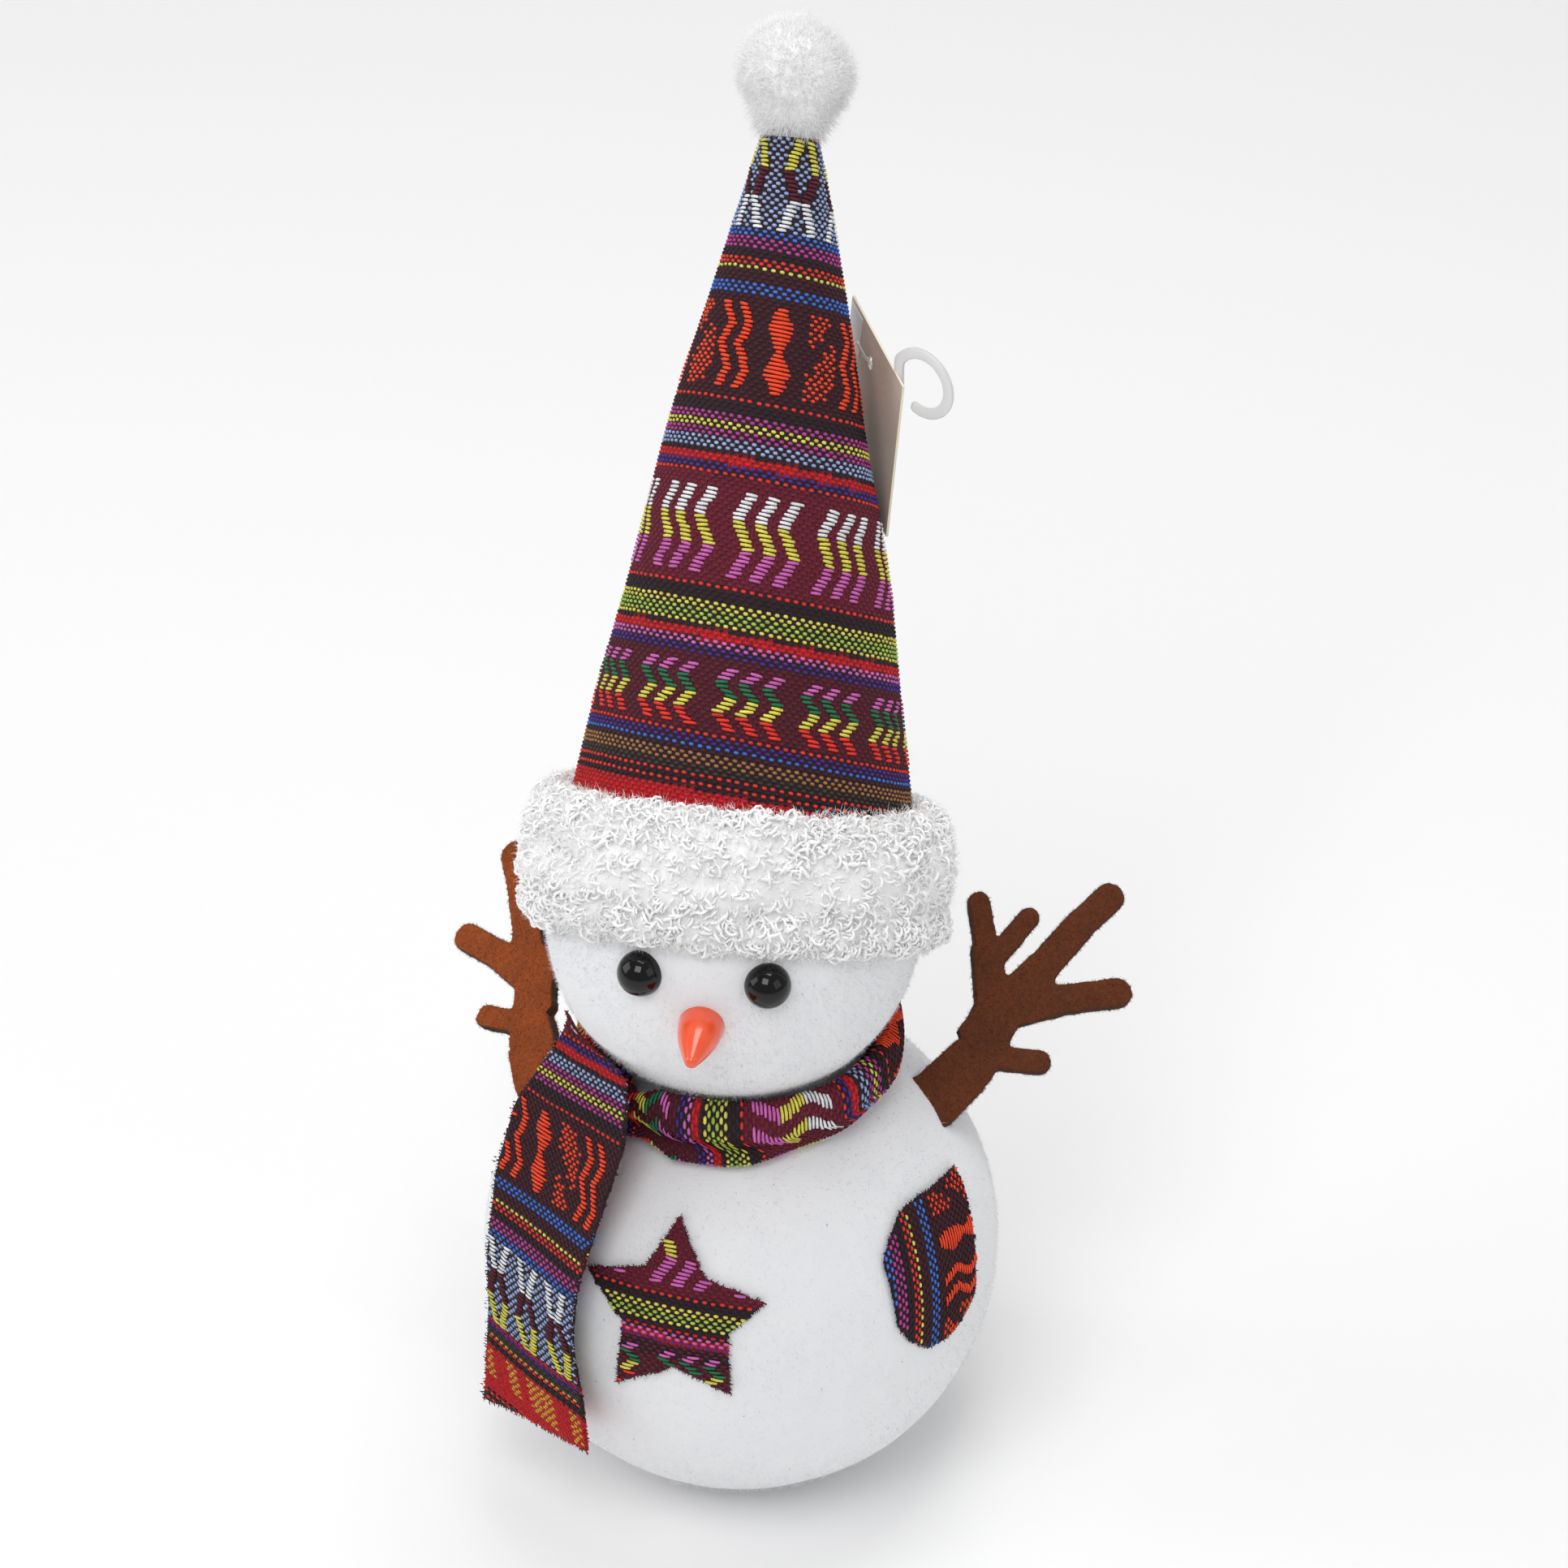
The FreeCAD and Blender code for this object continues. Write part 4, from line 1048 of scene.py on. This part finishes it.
# %% The patches
def patch(name, node_name, turn, lift, outline, angle, middle_row, hurry=0.0, slide=0.0):
    """A patch on the body: an outline in mm in the ball's tangent plane, wrapped on the fleece.
    angle is how far its stripes are turned, and middle_row is the row of the bolt at its middle."""
    out = outward(turn, lift)
    level = np.array([math.cos(math.radians(turn)), math.sin(math.radians(turn)), 0.0])
    up = np.cross(out, level)
    a = math.radians(angle)
    across, down = np.array([math.cos(a), math.sin(a)]), np.array([math.sin(a), -math.cos(a)])
    edge = ragged(outline)

    def wrap(flat_spots, lift_mm):
        x, y = flat_spots[:, 0], flat_spots[:, 1]
        radius = BODY_R + lift_mm
        points = level * x[:, None] + up * y[:, None]
        points = points + out * np.sqrt(radius**2 - x**2 - y**2)[:, None]
        return BODY + points, unit(points)

    def on_patch(u, v):
        return inside_outline(u[:, None] * across + v[:, None] * down, edge)

    def place(u, v):
        return wrap(u[:, None] * across + v[:, None] * down, 1.05)

    spots, faces = filled(edge)
    outer, normal = wrap(spots, 1.0)
    cloth = np.stack([spots @ across, spots @ down], axis=-1)
    ground = thick_sheet(name + "_ground", outer, normal, faces, cloth, middle_row + cloth[:, 1] / ROW)
    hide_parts(node_name)
    reach = 24.0
    rows = (int(-reach / ROW), int(reach / ROW))
    weave(name, place, rows, (-reach, reach), on_patch, middle_row, hurry=hurry, slide=slide)
    tip = np.roll(edge, -1, axis=0) - np.roll(edge, 1, axis=0)
    side = unit(np.stack([tip[:, 1], -tip[:, 0]], axis=-1))
    side = side * np.where(inside_outline(edge + side * 0.5, edge), -1, 1)[:, None]
    roots, normal = wrap(edge, 0.7)
    ways = level * side[:, :1] + up * side[:, 1:] + normal * 0.15
    yarn_ends(name + "_ends", roots, ways, middle_row + (edge @ down) / ROW, length=(0.3, 0.8))


STAR = [(-1.7, 17.7), (5.3, 6.0), (18.2, 2.2), (11.4, -5.3), (12.5, -19.3)]
STAR += [(0.6, -14.4), (-12.1, -21.0), (-11.2, -6.4), (-20.6, 3.2), (-7.4, 6.3)]
SIDE_PATCH = [(16.5, 13), (16.2, 9.4), (15.1, 4.3), (13, -4.3), (10, -14.2), (3.3, -17.8), (-1.6, -18.6)]
SIDE_PATCH += [(-7.4, -17.2), (-12.3, -12.5), (-14.3, -7.9), (-13.5, 4.4), (-13.3, 7.1), (-9.3, 11.2)]
SIDE_PATCH += [(-5, 14), (-0.9, 14.5), (3.7, 14.2)]
patch(
    "star", "star_patch", turn=-4.8, lift=23.7, outline=STAR, angle=-2.5, middle_row=111,
    hurry=0.35, slide=-3.8,
)
patch(
    "leaf", "side_patch", turn=62.2, lift=20.2, outline=SIDE_PATCH, angle=78.7, middle_row=40,
)

# %% [markdown]
# ## The scarf
# The scarf is one strip that is folded round the neck and left to hang at the front. Its hanging end
# leaves the neck narrow and pinched, runs down over the body and hangs free from where the ball turns
# under. The stripes cross it askew, because it was cut askew.

# %% The hanging end
TAIL_TURN = math.radians(-43)
TAIL_OUT = np.array([math.sin(TAIL_TURN), -math.cos(TAIL_TURN), 0.0])
TAIL_LEVEL = np.array([math.cos(TAIL_TURN), math.sin(TAIL_TURN), 0.0])
TAIL_SIDE = TAIL_LEVEL * math.cos(math.radians(16)) + np.array([0, 0, math.sin(math.radians(16))])
TAIL_UP = np.cross(TAIL_OUT, TAIL_SIDE)
TAIL_TOP, TAIL_R, TAIL_BEND = np.array([36.3, 59.97]), 57.0, math.radians(23.2)
TAIL_MEET = TAIL_R * np.array([math.cos(TAIL_BEND), math.sin(TAIL_BEND)])
TAIL_RUN = float(np.linalg.norm(TAIL_MEET - TAIL_TOP))
TAIL_ARC = TAIL_R * TAIL_BEND
TAIL_LONG = TAIL_RUN + TAIL_ARC + 20.6
TAIL_CENTRE, TAIL_ABOVE = 4.5, 10
# The strip's left and right edges, in mm across, at each of these places down it.
TAIL_KEYS = [-10, -5, 0, 6, 14, 30, 45, 60, 73, 88]
TAIL_LEFT = [5.5, 4, 1.5, -3, -8.5, -11.5, -11.5, -11.5, -16.0, -21.0]
TAIL_RIGHT = [8, 18, 28, 30, 30.5, 27, 24, 21, 20, 18.5]


def tail_at(x, s, lift=0.0):
    """Points and normals of the outside of the strip, s mm down from the neck and x mm across."""
    run = unit(TAIL_MEET - TAIL_TOP)
    angle = TAIL_BEND - np.clip(s - TAIL_RUN, 0, TAIL_ARC) / TAIL_R
    straight = TAIL_TOP + run * np.minimum(s, TAIL_RUN)[:, None]
    bent = TAIL_R * np.stack([np.cos(angle), np.sin(angle)], axis=-1)
    flat = np.where((s < TAIL_RUN)[:, None], straight, bent)
    flat[:, 1] -= np.maximum(s - TAIL_RUN - TAIL_ARC, 0)
    across = np.where(s < TAIL_RUN, math.atan2(run[0], -run[1]), angle)
    normal = TAIL_OUT * np.cos(across)[:, None] + TAIL_UP * np.sin(across)[:, None]
    wave = 0.45 * (1 + np.sin(s / 8.5 + x / 9)) + 0.4 * np.clip((s - 60) / 25, 0, 1) * (1 + np.sin(x / 6))
    points = BODY + TAIL_OUT * flat[:, :1] + TAIL_UP * flat[:, 1:] + TAIL_SIDE * x[:, None]
    points = points + normal * (0.8 + wave + lift)[:, None]
    return pushed_out(pushed_out(points, HEAD, HEAD_R + 1.7), BODY, BODY_R + 1.8), normal


def tail_slant(s):
    return np.interp(s, [0, 45, 85], [0.06, 0.14, 0.25])


def tail_down(u, v):
    base = TAIL_LONG - v
    return base + (u - TAIL_CENTRE) * tail_slant(base)


def on_tail(u, v):
    s = tail_down(u, v)
    ragged_end = TAIL_LONG - 0.5 + 0.35 * np.sin(3.1 * u) + 0.25 * np.sin(7.7 * u)
    left, right = np.interp(s, TAIL_KEYS, TAIL_LEFT), np.interp(s, TAIL_KEYS, TAIL_RIGHT)
    return (s > 0.4 - TAIL_ABOVE) & (s < ragged_end) & (u > left + 0.3) & (u < right - 0.3)


def tail_place(u, v):
    return tail_at(u, tail_down(u, v))


def tail_back(u, v):
    points, normal = tail_at(u, tail_down(u, v), -0.75)
    return points, -normal


def tail():
    s = np.linspace(-TAIL_ABOVE, TAIL_LONG, 126)
    share = np.linspace(0, 1, 46)
    left, right = np.interp(s, TAIL_KEYS, TAIL_LEFT), np.interp(s, TAIL_KEYS, TAIL_RIGHT)
    x = left[:, None] + (right - left)[:, None] * share
    x[:, 0] += random.normal(0, 0.14, len(s))
    x[:, -1] += random.normal(0, 0.14, len(s))
    down = np.repeat(s[:, None], len(share), axis=1)
    down[-1] += random.normal(0, 0.2, len(share))
    outer, normal = tail_at(x.ravel(), down.ravel(), -0.05)
    cloth = np.stack([x.ravel(), TAIL_LONG - down.ravel()], axis=-1)
    faces = grid_faces(len(s), len(share))
    lift = TAIL_LONG - down.ravel() + (x.ravel() - TAIL_CENTRE) * tail_slant(down.ravel())
    start, span = -23, (-24, 32)
    ground = thick_sheet("tail_ground", outer, normal, faces, cloth, start + lift / ROW, None, 0.65)
    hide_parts("scarf_tail")
    rows = (-10, int((TAIL_LONG + 18) / ROW))
    pieces = [ground]
    pieces += weave("tail", tail_place, rows, span, on_tail, start, None)
    pieces += weave("tail_back", tail_back, rows, span, on_tail, start, None)
    outer = outer.reshape(len(s), -1, 3)
    side = np.concatenate([outer[:, 0], outer[:, -1]])
    ways = np.concatenate([np.tile(-TAIL_SIDE, (len(s), 1)), np.tile(TAIL_SIDE, (len(s), 1))])
    rows_at = np.tile((TAIL_LONG - s) / ROW, 2) + start
    low = outer[-1]
    roots = np.concatenate([side, side + random.normal(0, 0.3, side.shape), low, low])
    ways = np.concatenate([ways, ways, np.tile(-TAIL_UP, (2 * len(low), 1))])
    rows_at = np.concatenate([rows_at, rows_at, np.full(2 * len(low), start + 1)])
    pieces.append(yarn_ends("tail_ends", roots, ways, rows_at, None, (0.3, 1.0)))
    top, below = tail_at(np.array([15.0, 15.0]), np.array([0.5, 8.0]))[0] * MM
    for piece in pieces:
        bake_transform(piece)


tail()

# %% The folded part round the neck
FOLDED = [(28.6, 58.2), (31.2, 60.6), (34.0, 58.6), (34.2, 53.4), (32.6, 50.2)]
FOLDED += [(34.4, 48.6), (34.8, 46.6), (33.2, 45.5), (31.6, 46.2)]
NARROW = [(28.6, 58.2), (31.2, 60.6), (33.8, 59.2), (34.4, 55.4), (34.0, 51.8)]
NARROW += [(32.7, 49.0), (31.6, 48.0), (30.5, 47.4), (29.6, 47.7)]
BAND_R = 34.0


def band_profile(turn):
    """The outline across the folded scarf at each angle from the front."""
    turn = (turn + 180) % 360 - 180
    fold = 1 / (1 + np.exp((turn - 14) / 7)) * 1 / (1 + np.exp((-turn - 120) / 10))
    pinch = 1 - 0.4 * np.exp(-(((turn + 33) / 8) ** 2))
    fold = fold[:, None, None]
    outline = np.array(NARROW) * (1 - fold) + np.array(FOLDED) * fold
    centre = np.array([32.5, 51.5])
    return centre + (outline - centre) * pinch[:, None, None]


def band_at(u, v, lift=0.0):
    """Points on the band: u is 0 to 1 across it from the top, v the mm round it from behind."""
    turn = 180 - v / BAND_R * 180 / math.pi
    shift = 8.0 / (1 + np.exp(-(u - 0.52) * 40))
    outline = band_profile(turn)
    spot = np.clip(u, 0, 0.9999) * 8
    index = np.floor(spot).astype(int)
    part = spot - index
    k = np.arange(len(u))
    before = outline[k, np.maximum(index - 1, 0)]
    a, b = outline[k, index], outline[k, index + 1]
    after = outline[k, np.minimum(index + 2, 8)]
    p = part[:, None]
    flat = smooth(before, a, b, after, p)
    slope = 0.5 * ((b - before) + 2 * (2 * before - 5 * a + 4 * b - after) * p)
    slope = slope + 1.5 * (3 * a - before - 3 * b + after) * p**2
    slope = unit(slope)
    angle = np.radians(turn + shift)
    way = np.stack([np.sin(angle), -np.cos(angle), np.zeros(len(u))], axis=-1)
    up = np.array([0.0, 0.0, 1.0])
    normal = way * (-slope[:, 1:]) + up * slope[:, :1]
    wrinkle = 0.3 * np.sin(turn / 5.0 + 9 * u) * np.sin(math.pi * np.clip(u, 0, 1))
    points = BODY + way * flat[:, :1] + up * flat[:, 1:] + normal * (wrinkle + lift)[:, None]
    return pushed_out(points, HEAD, HEAD_R + 0.9), normal


def collar():
    around, across = 300, 48
    v = np.arange(around) * 2 * math.pi * BAND_R / around
    u = np.linspace(0, 1, across)
    v2, u2 = np.meshgrid(v, u, indexing="ij")
    outer, normal = band_at(u2.ravel(), v2.ravel(), -0.1)
    faces = grid_faces(around, across, ring_rows=True)
    length, start = 22.0, -10
    cloth = np.stack([u2.ravel() * length, v2.ravel()], axis=-1)
    ground = thick_sheet("band_ground", outer, normal, faces, cloth, start + cloth[:, 1] / ROW, thick=0.6)
    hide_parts("scarf_collar")

    def place(x, y):
        return band_at(x / length, y)

    def inside(x, y):
        return (x > 0.3) & (x < length - 0.3)

    rows = (0, int(2 * math.pi * BAND_R / ROW))
    weave("band", place, rows, (0, length), inside, start)


collar()

# %% [markdown]
# ## The felt arms
# Each arm is one piece of thick brown felt, glued to the body by its root. Felt has no sharp edges: the
# cut sides are fuzzy and painted darker, a painted shade, and loose hairs lie on the faces. The arm's
# solid outline is rebuilt as a fine skin, smoothed, roughened a little, and covered with short fibres.

# %% Felt
FELT = dyed("brown felt", "#5A2A12", 0.95, 0.5, 5.0, (0.7, 1.25), 0.7, 0.12, Sheen_Weight=0.03)
JOINTS = {joint["name"]: joint for joint in frame["joints"]}


# The arm is drawn in to a straight root between the ball and the height where its trunk begins.
ROOT_DEEP, ARM_HINGE, TRUNK = 10.0, 4.6, 10.5
VOXEL, ARM_HAIRS, BEND_REACH = 0.5, 15000, 2.2


def felt_arm(side, along, across, face_colour, shaded_edge_colour):
    """An arm's felt and hair. along runs along the root's cut edge, and across leads out along the arm."""
    names = ["arm_" + side, "arm_" + side + "_tab"]
    joint = JOINTS["arm_" + side + "_flex"]
    hinge, axis = np.array(joint["pos_m"]) / MM, unit(along)
    flat = unit(np.cross(axis, across))
    reach = np.cross(flat, axis)
    if reach @ np.array(across) < 0:
        reach = -reach
    shell = bmesh.new()
    shell.from_mesh(frame["nodes"][names[0]].data)
    # The root is a block as wide and as thick as the arm is beside its hinge.
    nearby = np.array([v.co[:] for v in shell.verts]) / MM - hinge
    close = nearby[np.abs(nearby @ reach) < 1.5]
    low, high = (close @ axis).min(), (close @ axis).max()
    floor, roof = (close @ flat).min() + 0.05, (close @ flat).max() - 0.05
    cube = bmesh.ops.create_cube(shell, size=1.0)["verts"]
    for vert in cube:
        x, y, z = vert.co
        spot = hinge + axis * (low + (x + 0.5) * (high - low)) + reach * (y * ROOT_DEEP - ROOT_DEEP / 2 + 1.0)
        spot = spot + flat * (floor + (z + 0.5) * (roof - floor))
        vert.co = Vector(spot * MM)
    rough = bpy.data.meshes.new("rough_arm")
    shell.to_mesh(rough)
    shell.free()
    holder = bpy.data.objects.new("rough_arm", rough)
    bpy.context.collection.objects.link(holder)
    remesh = holder.modifiers.new("remesh", "REMESH")
    remesh.mode = "VOXEL"
    remesh.voxel_size = VOXEL * MM
    soften = holder.modifiers.new("soften", "SMOOTH")
    soften.factor, soften.iterations = 0.5, 4
    done = bpy.data.meshes.new_from_object(holder.evaluated_get(bpy.context.evaluated_depsgraph_get()))
    bpy.data.objects.remove(holder)
    count = len(done.vertices)
    points = np.zeros(count * 3)
    done.vertices.foreach_get("co", points)
    points = points.reshape(-1, 3) / MM
    normal = np.array([v.normal[:] for v in done.vertices])
    points = points + normal * (lumps(points, 2.4, 0.16, 21) + lumps(points, 0.8, 0.07, 22))[:, None]
    facing = np.abs(normal @ flat)
    x, y = (points - hinge) @ axis, (points - hinge) @ reach + ARM_HINGE
    pull = np.interp(y, [0, TRUNK, TRUNK + 2], [0, 0.32, 0])
    left, right = np.interp(y, [0, TRUNK], [6.3, 8.3]), np.interp(y, [0, TRUNK + 2], [6.3, 2.9])
    drawn = np.clip(np.where(x < 0, x * (1 + pull), x), -left, right)
    points = points + axis * np.where(y < TRUNK + 2, drawn - x, 0)[:, None]
    face_tone, shaded_edge_tone = np.array(linear(face_colour)), np.array(linear(shaded_edge_colour))
    done.vertices.foreach_set("co", (points * MM).ravel())
    # Painted shade: the cut sides, which turn away from the flat of the arm, take the darker shaded edge
    # colour.
    share = np.clip((facing - 0.35) / 0.4, 0, 1)[:, None]
    tone = shaded_edge_tone * (1 - share) + face_tone * share
    tone = tone * (1 + 0.22 * lumps(points, 7.0, 1.0, 23))[:, None]
    dye(done, np.clip(tone, 0, 1))
    done.name = side + "_arm_felt"
    done.materials.clear()
    arm = add_object(side + "_arm_felt", done, FELT, None)
    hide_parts(*names)
    pick = random.integers(0, count, ARM_HAIRS)
    way = normal[pick] * 0.55 + random.normal(0, 0.6, (len(pick), 3))
    way = way + normal[pick] * np.maximum(-np.sum(way * normal[pick], axis=-1), 0)[:, None] * 1.2
    lengths = random.uniform(0.25, 0.75, len(pick))
    tones = tone[pick] * random.uniform(0.6, 1.5, (len(pick), 1))
    name = side + "_arm_hair"
    hair = spikes(name, points[pick], way, lengths, 0.07, FELT, None, tones, droop=0.5)
    for piece in (arm, hair):
        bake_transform(piece)


RIGHT_ALONG, RIGHT_ACROSS = (0.627, -0.506, -0.593), (0.725, 0.657, 0.206)
LEFT_ALONG, LEFT_ACROSS = (-0.688, -0.349, -0.636), (-0.512, 0.855, 0.085)
felt_arm("right", RIGHT_ALONG, RIGHT_ACROSS, face_colour="#5E2B0B", shaded_edge_colour="#43200C")
felt_arm("left", LEFT_ALONG, LEFT_ACROSS, face_colour="#8E400A", shaded_edge_colour="#361A08")

# %% [markdown]
# ## The hang tag
# A plain grey-beige card hangs on a clear nylon thread, with a small blank label and a clear plastic
# hook glued behind it. The card and the label are flat in life too, so their solids stay and only get
# board and paper. The thread sags, and the hook is one smooth flat moulding.

# %% Thread and hook
TAG_HEIGHT, THREAD_STAND = 120.0, 1.0
THREAD = np.array([1.9, 6.4, -8.6])
ANCHOR = HEAD + HAT_UP * TAG_HEIGHT + np.array([1.0, 0, 0]) * (hat_radius(TAG_HEIGHT) + THREAD_STAND)
HOLE = ANCHOR + THREAD
CARD_X = unit([0.427, -0.904, 0.0])
CARD_Z = unit(np.cross(CARD_X, [0.079, 0.037, 0.996]))
CARD_Y = np.cross(CARD_Z, CARD_X)
HOOK_X = unit([0.862, -0.507, 0.0])
HOOK_Y = np.array([0.0, 0.0, 1.0])
HOOK_Z = np.cross(HOOK_X, HOOK_Y)
HOOK_SPOT = HOLE + np.array([13.4, -16.7, 6.5])
CLEAR = material("clear plastic", "#FFFFFF", 0.3, Transmission_Weight=0.5, IOR=1.3)
NYLON = material("clear nylon", "#F4F6F8", 0.2, Transmission_Weight=0.5, IOR=1.5)
mottle(CLEAR, "#F2F4F6", "#FFFFFF", 5.0)
mottle(NYLON, "#ECEFF2", "#FAFBFC", 1.0)


def swept(name, line, wide, thick, flat_ways, made, sides):
    """A closed tube along a line, wide across it and thin along the given directions."""
    line = np.array(line)
    ahead = unit(np.gradient(line, axis=0))
    up = unit(flat_ways - ahead * np.sum(flat_ways * ahead, axis=-1, keepdims=True))
    side = np.cross(ahead, up)
    points = [line[0] - ahead[0] * thick * 0.15]
    for k, spot in enumerate(line):
        end = min(k, len(line) - 1 - k)
        size = min(1.0, 0.72 + 0.14 * end)
        for s in range(sides):
            a = 2 * math.pi * s / sides
            c, d = math.cos(a), math.sin(a)
            c, d = math.copysign(abs(c) ** 0.6, c), math.copysign(abs(d) ** 0.6, d)
            points.append(spot + side[k] * c * wide / 2 * size + up[k] * d * thick / 2 * size)
    points.append(line[-1] + ahead[-1] * thick * 0.15)
    corners, sizes = ring_faces(len(line), sides)
    mesh = mesh_of(name, points, corners, sizes)
    face_out(mesh)
    return add_object(name, mesh, made, "tag")


def smooth_line(keys, steps):
    """A smooth line through points (Catmull-Rom)."""
    keys = np.array(keys)
    keys = np.concatenate([[2 * keys[0] - keys[1]], keys, [2 * keys[-1] - keys[-2]]])
    found = []
    for a, b, c, d in zip(keys, keys[1:], keys[2:], keys[3:]):
        found += [smooth(a, b, c, d, step / steps) for step in range(steps)]
    return np.array(found + [keys[-2]])


def tag():
    sag = np.array([0.0, 0.0, -0.7])
    keys = [ANCHOR, ANCHOR + THREAD * 0.33 + sag * 0.9, ANCHOR + THREAD * 0.7 + sag]
    keys.append(HOLE + unit(THREAD) * 0.9)
    line = smooth_line(keys, 8)
    up = np.tile([1.0, 0.3, 0.0], (len(line), 1))
    thread = swept("nylon_thread", line, 0.55, 0.55, up, NYLON, 8)
    bar_middle = HOLE + unit(THREAD) * 1.7
    bar = [bar_middle + CARD_Y * y for y in np.linspace(-2.4, 2.4, 9)]
    swept("thread_bar", bar, 0.95, 0.95, np.tile(CARD_Z, (9, 1)), NYLON, 10)
    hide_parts("tag_thread")
    back = -(0.25 + 0.15 + 0.5)
    stalk_spots = ((14.2, -5.6), (14.8, -1.0), (16.6, 3.2))
    stalk = [HOLE + CARD_X * x + CARD_Y * y + CARD_Z * back for x, y in stalk_spots]
    mean = 8.0 - 1.25
    ring = []
    for angle in np.radians(np.linspace(158, -114, 15)):
        ring.append(HOOK_SPOT + (HOOK_X * math.cos(angle) + HOOK_Y * math.sin(angle)) * mean)
    line = smooth_line(stalk + ring, 6)
    turn = np.clip(np.arange(len(line)) / 20.0, 0, 1)[:, None]
    ways = -CARD_Z * (1 - turn) - HOOK_Z * turn * np.sign(CARD_Z @ HOOK_Z)
    hook = swept("clear_hook", line, 2.5, 1.0, ways, CLEAR, 16)
    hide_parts("tag_hook")


tag()

# %% [markdown]
# ## Materials of the hidden and plain pieces
# Inside are two foam balls, an iron weight, a felt pad, a wooden dowel and a board liner. They hardly
# show, but they get real materials too.

# %% Materials on the solids that stay
def dress(node_name, made):
    mesh = frame["nodes"][node_name].data
    mesh.materials.clear()
    mesh.materials.append(made)


def plain(name, first, second, rough, scale_mm, depth_mm, **sockets):
    made = material(name, first, rough, **sockets)
    mottle(made, first, second, scale_mm)
    grain(made, scale_mm * 0.3, depth_mm, 0.8)
    return made


FOAM = plain("white polystyrene foam", "#F2F2F0", "#FAFAF8", 0.8, 3.0, 0.25)
PAD = plain("white felt pad", "#DADBDC", "#E8E8E8", 0.95, 1.5, 0.15)
IRON = plain("grey iron", "#5C5F63", "#777A7E", 0.45, 4.0, 0.05, Metallic=1.0)
WOOD = plain("birch dowel", "#D8B889", "#C9A572", 0.6, 5.0, 0.08)
LINER = plain("white board liner", "#E9E7E1", "#DFDCD4", 0.85, 3.0, 0.05)
STITCH = plain("white sewing thread", "#E8E8E6", "#D8D8D6", 0.7, 0.4, 0.06)
PAPER = plain("white label paper", "#F1F1EF", "#E9E9E6", 0.7, 1.5, 0.02)


def card_board():
    """Board whose colour is split by painted light: grey-beige painted shade on the faces, and the cream of
    painted light on the cut edge.
    """
    made = material("board with painted shade and lit edge", "#B9B1A6", 0.8)
    face = blend_colours(made, (clouds(made, 1.4, 6.0), "Fac"), "#CFC4B4", "#E0D6C8")
    # Painted light: where the surface turns away from the card's faces, the cream of the lit edge replaces
    # the shaded grey-beige of the faces.
    place = node(made, "ShaderNodeTexCoord")
    facing = node(made, "ShaderNodeVectorMath", {"operation": "DOT_PRODUCT"}, _0=(place, "Normal"))
    facing.inputs[1].default_value = tuple(CARD_Z)
    size = node(made, "ShaderNodeMath", {"operation": "ABSOLUTE"}, _0=(facing, "Value"))
    edge = node(made, "ShaderNodeMath", {"operation": "LESS_THAN"}, _0=(size, 0), _1=0.5)
    mix = node(made, "ShaderNodeMix", {"data_type": "RGBA"}, _0=(edge, 0), _6=(face, 2), _7=rgba("#EFE8CE"))
    shade(made, "Base Color", mix, 2)
    return made


PLAIN = {"body_core": FOAM, "head_core": FOAM, "base_pad": PAD, "base_weight": IRON, "neck_dowel": WOOD}
PLAIN |= {"hat_liner": LINER, "pompom_stitch": STITCH, "tag_label": PAPER, "tag_card": card_board()}
for name, made in PLAIN.items():
    dress(name, made)
